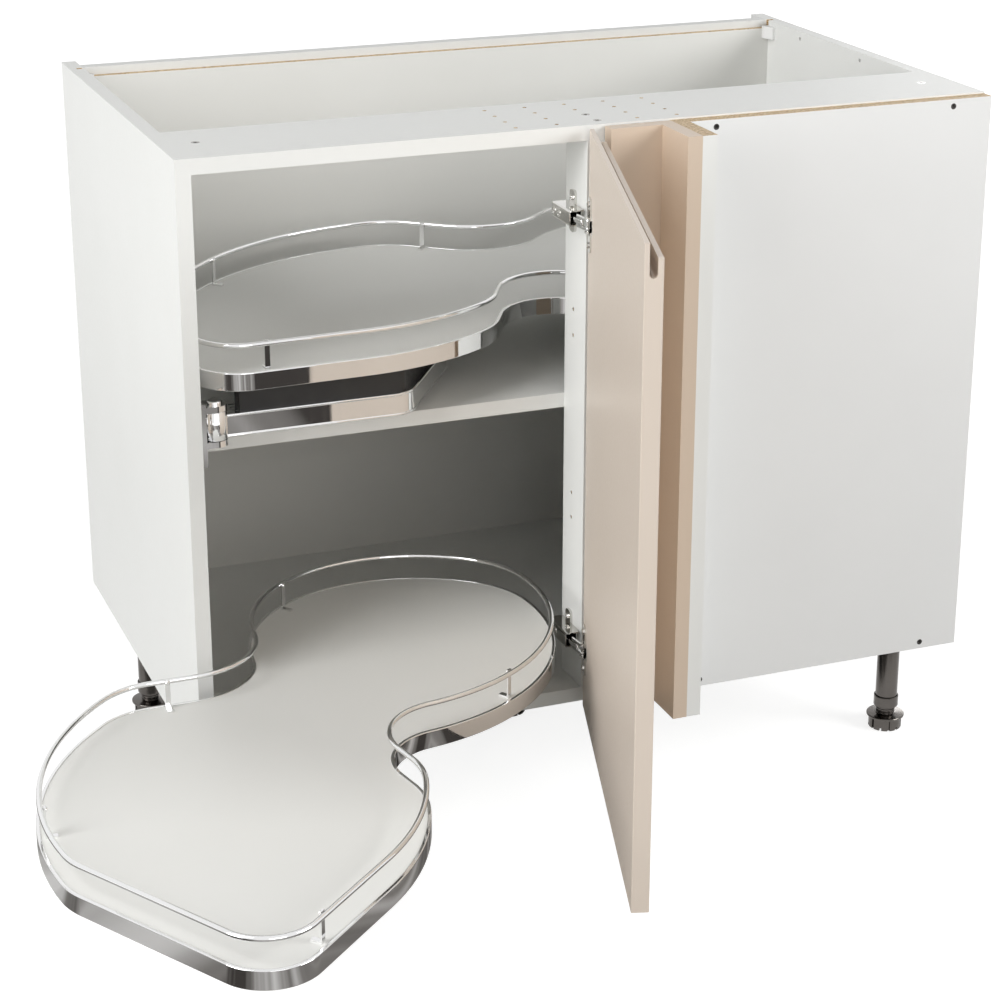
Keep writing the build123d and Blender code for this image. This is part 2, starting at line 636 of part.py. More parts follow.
def drawn_steps():
    """Runs (length, None) and arcs (radius, turn), turns clockwise when positive, before the fit."""
    arcs = [
        (CORNER_R, CORNER_TURN), None,
        (SHOULDER_R, SHOULDER_TURN), (BACK_R, BACK_TURN), (NECK_R, NECK_TURN), (NECK_RUN, None),
        (WAIST_R, -WAIST_TURN), (LOBE_REAR_R, LOBE_REAR_TURN), (LOBE_SIDE_R, LOBE_SIDE_TURN),
        (LOBE_TIP_R, LOBE_TIP_TURN), (LOBE_FRONT_R, LOBE_FRONT_TURN), (HIP_R, -HIP_TURN),
        (HIP_RUN, None), (NOSE_R, NOSE_TURN)]
    total = sum(step[1] for step in arcs if step and step[1] is not None)
    arcs.append((BREAST_R, 360 - total))
    heading = pi
    x, y = 0.0, 0.0
    left_heading = None
    for step in arcs:
        if step is None:
            left_heading = heading
            continue
        x, y, heading = advance(x, y, heading, step)
    # the two straight edges take up what is left: a * front + b * left + (x, y) = 0
    front = (-1.0, 0.0)
    left = (cos(left_heading), sin(left_heading))
    det = front[0] * left[1] - front[1] * left[0]
    front_run = (-x * left[1] + y * left[0]) / det
    left_run = (-front[0] * y + front[1] * x) / det
    return [(front_run, None), arcs[0], (left_run, None)] + arcs[2:]


def advance(x, y, heading, step):
    """End point and heading after one run or arc."""
    size, turn = step
    if turn is None:
        return x + size * cos(heading), y + size * sin(heading), heading
    side = 1 if turn > 0 else -1
    cx = x + side * size * sin(heading)
    cy = y - side * size * cos(heading)
    ahead = heading - radians(turn)
    return cx - side * size * sin(ahead), cy + side * size * cos(ahead), ahead


def stored_extents(steps):
    """Least and greatest X and Y of the edge about its start, turned as the stored tray is."""
    x, y, heading = 0.0, 0.0, pi + radians(STORED_TURN)
    xs, ys = [x], [y]
    for size, turn in steps:
        parts = 1 if turn is None else EXTENT_PARTS
        step = (size, None) if turn is None else (size, turn / parts)
        for _ in range(parts):
            x, y, heading = advance(x, y, heading, step)
            xs.append(x)
            ys.append(y)
    return min(xs), max(xs), min(ys), max(ys)


def tray_fit():
    """Size of the tray against the drawn one, so that it is stored with its gaps kept."""
    x0, x1, y0, y1 = stored_extents(drawn_steps())
    room_x = INNER_RIGHT - TRAY_RIGHT_GAP - INNER_LEFT - TRAY_LEFT_GAP
    room_y = BACK_FRONT - TRAY_BACK_GAP - TRAY_FRONT_GAP
    return min(room_x / (x1 - x0), room_y / (y1 - y0))


def outline_steps():
    """Runs and arcs of the fitted tray."""
    fit = tray_fit()
    return [(size * fit, turn) for size, turn in drawn_steps()]


def pivot_from_pin():
    """Reach and offset of the stored tray's pivot from the swing pin."""
    x0, _, y0, _ = stored_extents(outline_steps())
    angle = radians(STORED_TURN)
    x = INNER_LEFT + TRAY_LEFT_GAP - x0 + PIVOT_FROM_BREAST * cos(angle) - PIVOT_FROM_FRONT * sin(angle)
    y = TRAY_FRONT_GAP - y0 + PIVOT_FROM_BREAST * sin(angle) + PIVOT_FROM_FRONT * cos(angle)
    return x - SWING_PIN_X, y - SWING_PIN_Y


def outline(inset, z=0.0):
    """Closed wire parallel to the tray's edge, about the tray's pivot."""
    x, y, heading = -PIVOT_FROM_BREAST, -PIVOT_FROM_FRONT, pi
    edges = []
    for size, turn in outline_steps():
        start = (x + inset * sin(heading), y - inset * cos(heading), z)
        if turn is None:
            x, y, heading = advance(x, y, heading, (size, None))
            end = (x + inset * sin(heading), y - inset * cos(heading), z)
            edges.append(Line(start, end))
            continue
        mid_x, mid_y, mid_heading = advance(x, y, heading, (size, turn / 2))
        x, y, heading = advance(x, y, heading, (size, turn))
        middle = (mid_x + inset * sin(mid_heading), mid_y - inset * cos(mid_heading), z)
        end = (x + inset * sin(heading), y - inset * cos(heading), z)
        edges.append(ThreePointArc(start, middle, end))
    return Wire(edges)


def station(distance):
    """Point and heading at a distance along the tray's edge."""
    x, y, heading = -PIVOT_FROM_BREAST, -PIVOT_FROM_FRONT, pi
    for size, turn in outline_steps():
        length = size if turn is None else size * radians(abs(turn))
        if distance <= length:
            part = (distance, None) if turn is None else (size, turn * distance / length)
            return advance(x, y, heading, part)
        distance -= length
        x, y, heading = advance(x, y, heading, (size, turn))
    return x, y, heading


def slab(inset, z0, z1):
    """Solid within the tray's edge."""
    return extrude(make_face(outline(inset, z0)), z1 - z0, dir=(0, 0, 1))


# Trays, about their own pivot, heights above the board that carries them

def tray_trim():
    """Bright edge profile with a lip over the deck."""
    bottom = TRAY_TOP - TRIM_HEIGHT
    trim = slab(0, bottom, TRAY_TOP) - slab(TRIM_WALL, bottom, TRAY_TOP - TRIM_LIP_THICK)
    return trim - slab(TRIM_LIP, TRAY_TOP - TRIM_LIP_THICK, TRAY_TOP)


def tray_deck():
    """Board of the tray."""
    return slab(TRIM_WALL + DECK_PLAY, DECK_BOTTOM, DECK_TOP)


def tray_rail():
    """Round gallery rail above the edge."""
    path = outline(RAIL_INSET, DECK_TOP + RAIL_RISE)
    section = Plane(origin=path @ 0, z_dir=path % 0) * Circle(RAIL_RADIUS)
    return sweep(section, path=path)


def post_frame(distance):
    """Local frame at the edge: X along the edge, Y inwards."""
    x, y, heading = station(distance)
    return Pos(x, y, 0) * Rot(0, 0, degrees(heading) + 180)


def rail_post(distance):
    """Flat post with a foot on the deck, behind the rail."""
    near = RAIL_INSET + RAIL_RADIUS + POST_PLAY
    far = near + POST_THICK
    top = DECK_TOP + RAIL_RISE + RAIL_RADIUS
    strip = block(-POST_WIDTH / 2, POST_WIDTH / 2, near, far, DECK_TOP, top)
    base = block(-POST_WIDTH / 2, POST_WIDTH / 2, near, near + POST_FOOT, DECK_TOP, DECK_TOP + POST_THICK)
    return post_frame(distance) * (strip + base)


def post_screw(distance):
    """Button head that fixes the rail to its post."""
    far = RAIL_INSET + RAIL_RADIUS + POST_PLAY + POST_THICK
    head = rod_y(far, far + POST_SCREW_PROUD, 0, DECK_TOP + RAIL_RISE, POST_SCREW_RADIUS)
    return post_frame(distance) * chamfer(head.edges().group_by(Axis.Y)[-1], POST_SCREW_PROUD / 2)


def tray_bearing():
    """Round plate under the deck that turns on the stud."""
    plate = rod(0, 0, COVER_TOP + MOVING_GAP, DECK_BOTTOM, BEARING_RADIUS)
    return plate - rod(0, 0, COVER_TOP + MOVING_GAP, DECK_BOTTOM, STUD_RADIUS + RUNNING_PLAY)


# Swing arm, about its pin, first leg along +X

PIVOT_REACH, PIVOT_OFFSET = pivot_from_pin()


def arm_runs(width, start, z0, z1):
    """Cranked beam from near the pin to the tray's pivot."""
    beam = block(start, ARM_KNEE, ARM_LINE - width / 2, ARM_LINE + width / 2, z0, z1)
    beam += rod(ARM_KNEE, ARM_LINE, z0, z1, width / 2)
    dx, dy = PIVOT_REACH - ARM_KNEE, PIVOT_OFFSET - ARM_LINE
    reach = (dx * dx + dy * dy) ** 0.5
    leg = Pos(reach / 2, 0, (z0 + z1) / 2) * Box(reach, width, z1 - z0)
    beam += Pos(ARM_KNEE, ARM_LINE, 0) * Rot(0, 0, degrees(atan2(dy, dx))) * leg
    return beam + rod(PIVOT_REACH, PIVOT_OFFSET, z0, z1, width / 2)


def swing_arm():
    """Cranked arm with its hub on the pin."""
    top = ARM_BOTTOM + ARM_HEIGHT
    arm = arm_runs(ARM_WIDTH, 0, ARM_BOTTOM + MOVING_GAP, top)
    arm = fillet(arm.edges().group_by(Axis.Z)[-1], ARM_ROUND)
    arm = chamfer(arm.edges().group_by(Axis.Z)[0], ARM_BEVEL)
    arm += rod(0, 0, ARM_BOTTOM, HUB_TOP, HUB_RADIUS)
    return arm - rod(0, 0, ARM_BOTTOM, HUB_TOP, PIN_RADIUS + RUNNING_PLAY)


def arm_cover():
    """Dark beam on the arm, under the tray."""
    top = ARM_BOTTOM + ARM_HEIGHT
    cover = arm_runs(COVER_WIDTH, COVER_START, top, COVER_TOP)
    return cover - rod(PIVOT_REACH, PIVOT_OFFSET, top, COVER_TOP, STUD_RADIUS + RUNNING_PLAY)


def tray_stud():
    """Stud on which the tray turns."""
    return rod(PIVOT_REACH, PIVOT_OFFSET, ARM_BOTTOM + ARM_HEIGHT, DECK_BOTTOM - MOVING_GAP, STUD_RADIUS)


# Bracket and pin, fixed to the left side

BRACKET_SCREW_DEPTH = SWING_PIN_Y + BRACKET_SCREW_Y
TRAY_LEVELS = [(BASE_TOP, 0.0), (SHELF_TOP, BRACKET_HANG)]


def bracket_screw_heights(carried):
    """Heights of the screws that hold a bracket."""
    return [carried + BRACKET_SCREW_LOW + step * BRACKET_SCREW_PITCH for step in range(2)]


def ear(z0, z1):
    """Horizontal ear from the plate round the pin."""
    tongue = block(INNER_LEFT, SWING_PIN_X, SWING_PIN_Y - EAR_HALF, SWING_PIN_Y + EAR_HALF, z0, z1)
    tongue += rod(SWING_PIN_X, SWING_PIN_Y, z0, z1, EAR_HALF)
    return tongue - rod(SWING_PIN_X, SWING_PIN_Y, z0, z1, PIN_RADIUS + SCREW_PLAY)


def pivot_bracket(carried, hang):
    """Plate with a front lip and two ears for the pin."""
    y0 = SWING_PIN_Y - BRACKET_FRONT
    bracket = block(INNER_LEFT, INNER_LEFT + BRACKET_THICK, y0, SWING_PIN_Y + BRACKET_BACK,
                    carried - hang, carried + BRACKET_TOP)
    bracket += block(INNER_LEFT, INNER_LEFT + BRACKET_LIP, y0, y0 + BRACKET_LIP_THICK,
                     carried - hang, carried + BRACKET_TOP)
    low = carried + ARM_BOTTOM - MOVING_GAP
    high = carried + HUB_TOP + MOVING_GAP
    bracket += ear(low - EAR_THICK, low)
    bracket += ear(high, high + EAR_THICK)
    for z in bracket_screw_heights(carried):
        bracket -= rod_x(INNER_LEFT, INNER_LEFT + BRACKET_THICK, BRACKET_SCREW_DEPTH, z,
                         SCREW_SHANK_RADIUS + SCREW_PLAY)
    return bracket


def pivot_pin(carried):
    """Headed pin through both ears and the arm's hub."""
    low = carried + ARM_BOTTOM - MOVING_GAP - EAR_THICK
    high = carried + HUB_TOP + MOVING_GAP + EAR_THICK
    head = rod(SWING_PIN_X, SWING_PIN_Y, high, high + PIN_HEAD_HEIGHT, PIN_HEAD_RADIUS)
    head = fillet(head.edges().group_by(Axis.Z)[-1], PIN_HEAD_HEIGHT / 2)
    return head + rod(SWING_PIN_X, SWING_PIN_Y, low, high, PIN_RADIUS)


def swing_set(name, carried, hang, swing, tray_turn):
    """One tray with its arm and bracket, written as separate nodes."""
    on_arm = Pos(SWING_PIN_X, SWING_PIN_Y, carried) * Rot(0, 0, swing)
    pivot = on_arm * Pos(PIVOT_REACH, PIVOT_OFFSET, 0)
    on_tray = Pos(pivot.position.X, pivot.position.Y, carried) * Rot(0, 0, tray_turn)
    save(f"{name}_pivot_bracket", pivot_bracket(carried, hang))
    save(f"{name}_bracket_screws", *[
        pan_screw_x(INNER_LEFT + BRACKET_THICK, BRACKET_SCREW_DEPTH, z, 1) for z in bracket_screw_heights(carried)])
    save(f"{name}_pivot_pin", pivot_pin(carried))
    save(f"{name}_swing_arm", on_arm * swing_arm())
    save(f"{name}_arm_cover", on_arm * arm_cover())
    save(f"{name}_tray_stud", on_arm * tray_stud())
    save(f"{name}_tray_bearing", on_tray * tray_bearing())
    save(f"{name}_tray_deck", on_tray * tray_deck())
    save(f"{name}_tray_trim", on_tray * tray_trim())
    save(f"{name}_tray_rail", on_tray * tray_rail())
    save(f"{name}_tray_rail_posts", *[on_tray * rail_post(place) for place in POST_STATIONS])
    save(f"{name}_tray_post_screws", *[on_tray * post_screw(place) for place in POST_STATIONS])
    print(name, "tray pivot", round(pivot.position.X, 2), round(pivot.position.Y, 2))


def carcass():
    """Boards and small fittings of the fixed body."""
    save("left_side_panel", side_panel(0, INNER_LEFT, -1))
    save("right_side_panel", side_panel(INNER_RIGHT, INNER_RIGHT, 1))
    save("base_panel", base_panel())
    save("shelf_panel", shelf_panel())
    save("centre_upright", centre_upright())
    save("front_top_rail", front_rail())
    save("top_rail_fittings", *[rail_fitting(x, y) for x, y in fitting_places()])
    save("rear_top_rail", rear_rail())
    save("back_panel", back_panel())
    save("back_panel_clips", back_clip(INNER_LEFT), back_clip(INNER_RIGHT - CLIP_WIDTH))
    save("blind_panel", blind_panel())
    save("blind_panel_screws", *[screw_cut_y(-BLIND_THICK, x, z, 0).cut(
        rod_y(0, SCREW_LENGTH, x, z, SCREW_HEAD_RADIUS)) for x, z in blind_screw_places()])
    save("corner_filler_board", corner_filler())
    save("corner_post_board", corner_board())
    save("corner_return_board", corner_return())


def door_set():
    """Door, its hinges and their screws."""
    save("door", ajar(door()))
    save("hinge_cups", *[ajar(hinge_cup(z)) for z in HINGE_HEIGHTS])
    save("hinge_cup_screws", *[
        ajar(pan_screw_y(DOOR_BACK + CUP_FLANGE_THICK, CUP_X, z + side * CUP_SCREW_PITCH / 2))
        for z in HINGE_HEIGHTS for side in (-1, 1)])
    save("hinge_mounting_plates", *[mounting_plate(z) for z in HINGE_HEIGHTS])
    save("hinge_plate_screws", *[
        pan_screw_x(PLATE_FACE, UPRIGHT_HOLE_SETBACK, z + side * HOLE_PITCH / 2, -1)
        for z in HINGE_HEIGHTS for side in (-1, 1)])
    save("hinge_arms", *[hinge_arm(z) for z in HINGE_HEIGHTS])
    save("hinge_adjusting_screws", *[adjusting_screw(y, z) for z in HINGE_HEIGHTS for y in adjust_places()])
    save("hinge_arm_links", *[arm_link(z) for z in HINGE_HEIGHTS])
    save("hinge_cup_links", *[cup_link(z, side) for z in HINGE_HEIGHTS for side in (-1, 1)])
    print("cup pin at rest", [round(v, 2) for v in cup_pin_at_rest()])


def feet():
    """Sockets, tubes and adjustable feet."""
    save("leg_sockets", *[leg_socket(x, y) for x, y in LEG_PLACES.values()])
    save("leg_tubes", *[leg_tube(x, y) for x, y in LEG_PLACES.values()])
    for name, (x, y) in LEG_PLACES.items():
        save(f"foot_{name}", foot(x, y))


os.makedirs("parts", exist_ok=True)
carcass()
door_set()
feet()
swing_set("lower", *TRAY_LEVELS[0], OUT_SWING, OUT_TURN)
swing_set("upper", *TRAY_LEVELS[1], 0.0, STORED_TURN)
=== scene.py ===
"""Looks of a blind corner base cabinet with two swing-out trays, dressed over its fixed frame."""

from __future__ import annotations

import json
import logging
import math
from dataclasses import dataclass, field
from enum import Enum

import bpy
import numpy as np
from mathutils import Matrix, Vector

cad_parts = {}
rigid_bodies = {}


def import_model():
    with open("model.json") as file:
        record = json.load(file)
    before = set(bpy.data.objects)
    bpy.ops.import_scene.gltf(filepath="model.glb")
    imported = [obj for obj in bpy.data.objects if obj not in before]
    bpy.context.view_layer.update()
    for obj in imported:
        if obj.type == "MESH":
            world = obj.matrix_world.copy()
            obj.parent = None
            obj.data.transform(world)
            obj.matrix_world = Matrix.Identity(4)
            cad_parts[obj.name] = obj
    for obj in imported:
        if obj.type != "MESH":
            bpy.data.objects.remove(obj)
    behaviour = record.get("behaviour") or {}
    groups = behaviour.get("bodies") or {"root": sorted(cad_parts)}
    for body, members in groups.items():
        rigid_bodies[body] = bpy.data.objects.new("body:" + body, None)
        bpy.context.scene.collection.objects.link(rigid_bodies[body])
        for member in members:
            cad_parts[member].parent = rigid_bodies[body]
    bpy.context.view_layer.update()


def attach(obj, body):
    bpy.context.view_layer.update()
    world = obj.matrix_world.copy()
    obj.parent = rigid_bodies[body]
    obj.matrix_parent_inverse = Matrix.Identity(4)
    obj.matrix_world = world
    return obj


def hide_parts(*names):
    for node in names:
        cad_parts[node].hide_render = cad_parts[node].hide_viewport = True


LOG = logging.getLogger("cabinet")
ROW_ORIGIN = np.array([0.5, 0.2935, 0.0])  # centre foot, in metres off the left front corner
FAR = 99.0  # limit of a zone that does not end along an axis
FACING_SHARE = 0.6  # least share of the normal along a facing's axes
NOISE_SPAN = (0.3, 0.7)  # values of a noise between which a finish spreads its roughness
TINT_SPAN = (0.35, 0.65)  # values of a noise between which a finish passes from shade to colour
DRAWN = (1.0, 1.0, 0.03)  # stretch of a noise along the height, as on drawn metal
CHIPS_PER_METRE = 620.0
CHIP_TINTS = [(0.0, (0.30, 0.19, 0.09)), (0.45, (0.52, 0.37, 0.20)), (1.0, (0.68, 0.53, 0.33))]
GLUE = (0.42, 0.40, 0.36)
GLUE_HALF = 0.00015  # half width of a glue line, in metres
GLUE_SHARE = 0.35  # how far a glue line's colour covers the board's
Triple = tuple[float, float, float]


class Facing(Enum):
    """Ways in which a bare cut face may look."""

    SIDEWAYS = (1.0, 1.0, 0.0)
    ANY = (1.0, 1.0, 1.0)


class Coat(Enum):
    """Kinds of surface that a finish can give."""

    BOARD = "board"
    LACQUER = "lacquer"
    METAL = "metal"
    MOULDED = "moulded"


def row(x: float, y: float, z: float) -> Triple:
    """Point in metres in the row frame, from millimetres off the left front corner."""
    return (x / 1000 - ROW_ORIGIN[0], y / 1000 - ROW_ORIGIN[1], z / 1000)


# Materials


class NodeSheet:
    """Node tree of one material, with short calls for the nodes it holds."""

    def __init__(self, name: str) -> None:
        """Start an empty tree with one shader and its output.

        Args:
            name: Name of the material.
        """
        self.material = bpy.data.materials.new(name)
        self.material.use_nodes = True
        self.tree = self.material.node_tree
        self.tree.nodes.clear()
        self.output = self.tree.nodes.new("ShaderNodeOutputMaterial")
        self.shader = self.tree.nodes.new("ShaderNodeBsdfPrincipled")
        self.tree.links.new(self.shader.outputs[0], self.output.inputs[0])
        self.coords = self.tree.nodes.new("ShaderNodeTexCoord")

    def node(self, kind: str, inputs: dict[str | int, object], **settings: object) -> bpy.types.Node:
        """Add a node, set it up and connect it.

        Args:
            kind: Node type without its ShaderNode prefix.
            inputs: Input name or index to a value or to another node's socket.
            settings: Attributes of the node.

        Returns:
            The new node.
        """
        made = self.tree.nodes.new("ShaderNode" + kind)
        for key, value in settings.items():
            setattr(made, key, value)
        for key, value in inputs.items():
            if isinstance(value, bpy.types.NodeSocket):
                self.tree.links.new(value, made.inputs[key])
            else:
                made.inputs[key].default_value = value
        return made

    def math(self, operation: str, a: object, b: object = 0.0) -> bpy.types.NodeSocket:
        """Result of one arithmetic step on two numbers or sockets."""
        return self.node("Math", {0: a, 1: b}, operation=operation).outputs[0]

    def noise(self, scale: float, detail: float, stretch: Triple = (1.0, 1.0, 1.0)) -> bpy.types.NodeSocket:
        """Noise over the object's own coordinates.

        Args:
            scale: Cycles per metre.
            detail: Octaves.
            stretch: Share of the scale along each axis.

        Returns:
            The noise value, from 0 to 1.
        """
        place = self.node("Mapping", {"Vector": self.coords.outputs["Object"], "Scale": stretch})
        made = self.node("TexNoise", {"Vector": place.outputs[0], "Scale": scale, "Detail": detail})
        return made.outputs[0]

    def spread(self, value: bpy.types.NodeSocket, span: tuple[float, float], low: float, high: float,
               kind: str = "LINEAR") -> bpy.types.NodeSocket:
        """A value carried from a span to the range from low to high."""
        inputs = {0: value, 1: span[0], 2: span[1], 3: low, 4: high}
        return self.node("MapRange", inputs, interpolation_type=kind).outputs[0]

    def finish_with(self, shader: bpy.types.Node) -> bpy.types.Material:
        """Put another shader in the place of the first one.

        Args:
            shader: Node whose first output is the new surface.

        Returns:
            The material.
        """
        self.tree.nodes.remove(self.shader)
        self.tree.links.new(shader.outputs[0], self.output.inputs[0])
        return self.material

    def ramp(self, value: bpy.types.NodeSocket, stops: list[tuple[float, Triple]]) -> bpy.types.NodeSocket:
        """Colours spread over a value.

        Args:
            value: Socket from 0 to 1.
            stops: Places and their colours.

        Returns:
            The colour socket.
        """
        made = self.node("ValToRGB", {"Fac": value})
        elements = made.color_ramp.elements
        while len(elements) < len(stops):
            elements.new(1.0)
        for element, (place, colour) in zip(elements, stops):
            element.position = place
            element.color = (*colour, 1.0)
        return made.outputs[0]

    def blend(self, share: object, a: object, b: object) -> bpy.types.NodeSocket:
        """Mix of two colours.

        Args:
            share: Value or socket, from 0 for the first colour to 1 for the second.
            a: First colour or its socket.
            b: Second colour or its socket.

        Returns:
            The colour socket.
        """
        made = self.node("Mix", {0: share}, data_type="RGBA")
        for index, value in ((6, a), (7, b)):
            if isinstance(value, bpy.types.NodeSocket):
                self.tree.links.new(value, made.inputs[index])
            else:
                made.inputs[index].default_value = (*value, 1.0)
        return made.outputs[2]

    def bump(self, height: bpy.types.NodeSocket, distance: float) -> None:
        """Raise the shader's surface by a height, in metres at full value."""
        made = self.node("Bump", {"Height": height, "Distance": distance, "Strength": 1.0})
        self.tree.links.new(made.outputs[0], self.shader.inputs["Normal"])

    def connect(self, socket: bpy.types.NodeSocket, name: str) -> None:
        """Feed one of the shader's inputs."""
        self.tree.links.new(socket, self.shader.inputs[name])

    def put(self, name: str, value: object) -> None:
        """Set one of the shader's inputs to a plain value."""
        self.shader.inputs[name].default_value = value

    def within(self, low: Triple, high: Triple) -> bpy.types.NodeSocket:
        """One inside a box of the object's own coordinates and nought outside it.

        Args:
            low: Lowest corner, in metres; a coordinate of -FAR is no limit.
            high: Highest corner; a coordinate of FAR is no limit.

        Returns:
            The mask's socket.
        """
        split = self.node("SeparateXYZ", {0: self.coords.outputs["Object"]})
        mask: bpy.types.NodeSocket | None = None
        for axis in range(3):
            for operation, limit in (("GREATER_THAN", low[axis]), ("LESS_THAN", high[axis])):
                if abs(limit) >= FAR:
                    continue
                step = self.math(operation, split.outputs[axis], limit)
                mask = step if mask is None else self.math("MULTIPLY", mask, step)
        return mask

    def looking(self, facing: Facing) -> bpy.types.NodeSocket:
        """One where the surface looks along one of the facing's axes.

        Args:
            facing: Axes along which the surface may look.

        Returns:
            The mask's socket: 1 where |n| . axes is above FACING_SHARE.
        """
        plain = self.node("VectorMath", {0: self.coords.outputs["Normal"]}, operation="ABSOLUTE")
        dot = self.node("VectorMath", {0: plain.outputs[0], 1: facing.value}, operation="DOT_PRODUCT")
        return self.math("GREATER_THAN", dot.outputs["Value"], FACING_SHARE)


@dataclass(frozen=True)
class BareZone:
    """Part of a board where the chipboard shows, as in bores, grooves and sawn edges."""

    low: Triple
    high: Triple
    facing: Facing = Facing.ANY

    @classmethod
    def between(cls, low: tuple[float | None, ...], high: tuple[float | None, ...],
                facing: Facing = Facing.ANY) -> BareZone:
        """Zone between two corners given in millimetres off the left front corner.

        Args:
            low: Lowest corner; None is no limit.
            high: Highest corner; None is no limit.
            facing: Ways in which the bare faces look.

        Returns:
            The zone, in metres in the row frame.
        """
        ends = []
        for corner, limit in ((low, -FAR), (high, FAR)):
            place = row(*(0.0 if value is None else value for value in corner))
            ends.append(tuple(limit if value is None else at for value, at in zip(corner, place)))
        return cls(*ends, facing)


@dataclass(frozen=True)
class Finish:
    """One finish: its colour, how it shines and how fine its structure is."""

    name: str
    coat: Coat
    colour: Triple
    shade: Triple
    roughness: float
    spread: float = 0.06
    grain: float = 900.0
    relief: float = 0.00003
    drift: float = 5.0
    zones: tuple[BareZone, ...] = ()
    lines: tuple[tuple[int, float], ...] = ()

    def build(self) -> bpy.types.Material:
        """Make the finish's material.

        Returns:
            The material, all of whose patterns follow the object's own coordinates.
        """
        sheet = NodeSheet(self.name)
        tint = sheet.ramp(sheet.noise(self.drift, 3.0), list(zip(TINT_SPAN, (self.shade, self.colour))))
        if self.coat is Coat.METAL:
            sheet.put("Metallic", 1.0)
            pattern = sheet.noise(self.grain, 2.0, DRAWN)
        else:
            pattern = sheet.noise(self.grain / 4, 3.0)
        if self.coat is Coat.LACQUER:
            sheet.put("Coat Weight", 0.12)
            sheet.put("Coat Roughness", 0.3)
        if self.coat is Coat.BOARD:
            tint = self.glue_lines(sheet, tint)
        sheet.connect(self.bare_edges(sheet, tint), "Base Color")
        sheet.connect(sheet.spread(pattern, NOISE_SPAN, self.roughness - self.spread,
                                   self.roughness + self.spread), "Roughness")
        sheet.bump(sheet.noise(self.grain, 3.0), self.relief)
        return sheet.material

    def glue_lines(self, sheet: NodeSheet, tint: bpy.types.NodeSocket) -> bpy.types.NodeSocket:
        """Darken the hairlines where an edge band meets a board's face.

        Args:
            sheet: Node tree of the material.
            tint: Colour so far.

        Returns:
            The colour with its lines, each where |coordinate - place| is under GLUE_HALF.
        """
        split = sheet.node("SeparateXYZ", {0: sheet.coords.outputs["Object"]})
        for axis, place in self.lines:
            away = sheet.math("ABSOLUTE", sheet.math("SUBTRACT", split.outputs[axis], place))
            line = sheet.math("LESS_THAN", away, GLUE_HALF)
            tint = sheet.blend(sheet.math("MULTIPLY", line, GLUE_SHARE), tint, GLUE)
        return tint

    def bare_edges(self, sheet: NodeSheet, tint: bpy.types.NodeSocket) -> bpy.types.NodeSocket:
        """Show chips of wood in the finish's bare zones.

        Args:
            sheet: Node tree of the material.
            tint: Colour so far.

        Returns:
            The colour with its chips.
        """
        if not self.zones:
            return tint
        cells = sheet.node("TexVoronoi", {"Vector": sheet.coords.outputs["Object"], "Scale": CHIPS_PER_METRE})
        chips = sheet.ramp(sheet.node("SeparateColor", {0: cells.outputs["Color"]}).outputs[0], CHIP_TINTS)
        for zone in self.zones:
            mask = sheet.within(zone.low, zone.high)
            if zone.facing is not Facing.ANY:
                looking = sheet.looking(zone.facing)
                mask = looking if mask is None else sheet.math("MULTIPLY", mask, looking)
            tint = sheet.blend(mask, tint, chips)
        return tint


# White board of the rear rail, darkened and cooled with painted shade.
SHADED_RAIL_TONES: tuple[Triple, Triple] = ((0.715, 0.722, 0.705), (0.700, 0.707, 0.690))
# White board of the back panel, darkened with painted shade.
SHADED_BACK_TONES: tuple[Triple, Triple] = ((0.735, 0.732, 0.700), (0.720, 0.717, 0.684))
BLIND_TONES: tuple[Triple, Triple] = ((0.800, 0.800, 0.790), (0.785, 0.785, 0.775))
MELAMINE: tuple[Triple, Triple] = ((0.800, 0.805, 0.785), (0.785, 0.790, 0.768))
CASHMERE: tuple[Triple, Triple] = ((0.700, 0.610, 0.525), (0.690, 0.598, 0.512))
# Cashmere lacquer of the door, darkened and browned with painted shade for the corner post and filler.
SHADED_CASHMERE: tuple[Triple, Triple] = ((0.650, 0.530, 0.420), (0.640, 0.520, 0.410))


def board(name: str, zones: tuple[BareZone, ...] = (), lines: tuple[tuple[int, float], ...] = ()) -> Finish:
    """Pale melamine board with the given bare zones and glue lines."""
    return Finish(name, Coat.BOARD, *MELAMINE, 0.48, zones=zones, lines=lines)


def satin(name: str, tones: tuple[Triple, Triple]) -> Finish:
    """Satin lacquer of a front board, from its colour and its shade."""
    return Finish(name, Coat.LACQUER, *tones, 0.40, 0.05, 1100.0, 0.00002, 3.0)


CHROME = Finish("mirror_chrome", Coat.METAL, (0.86, 0.86, 0.86), (0.83, 0.83, 0.83), 0.035, 0.02,
                260.0, 0.000001)
NICKEL = Finish("plated_nickel", Coat.METAL, (0.70, 0.69, 0.66), (0.62, 0.61, 0.585), 0.09, 0.03,
                500.0, 0.000003)
ZINC = Finish("zinc_fitting", Coat.METAL, (0.42, 0.41, 0.39), (0.34, 0.33, 0.315), 0.26, 0.06,
              700.0, 0.000004)
STEEL = Finish("turned_steel", Coat.METAL, (0.62, 0.62, 0.61), (0.52, 0.52, 0.51), 0.28, 0.08,
               700.0, 0.000006)
GUNMETAL = Finish("gunmetal_coat", Coat.METAL, (0.125, 0.115, 0.107), (0.100, 0.092, 0.085), 0.20, 0.05,
                  700.0, 0.000003, 20.0)
DARK_COVER = Finish("dark_cover", Coat.MOULDED, (0.022, 0.021, 0.020), (0.014, 0.013, 0.013), 0.38, 0.06,
                    900.0, 0.00004, 20.0)
BLACK_SCREW = Finish("black_screw", Coat.METAL, (0.10, 0.095, 0.09), (0.05, 0.048, 0.045), 0.35, 0.08,
                     900.0, 0.000006, 60.0)
WHITE_PLASTIC = Finish("white_plastic", Coat.MOULDED, (0.82, 0.82, 0.81), (0.80, 0.80, 0.78), 0.38, 0.05,
                       900.0, 0.00003, 30.0)
DECK = Finish("deck_laminate", Coat.BOARD, (0.80, 0.80, 0.772), (0.787, 0.787, 0.757), 0.50, 0.06, 1300.0,
              0.00003, 4.0)


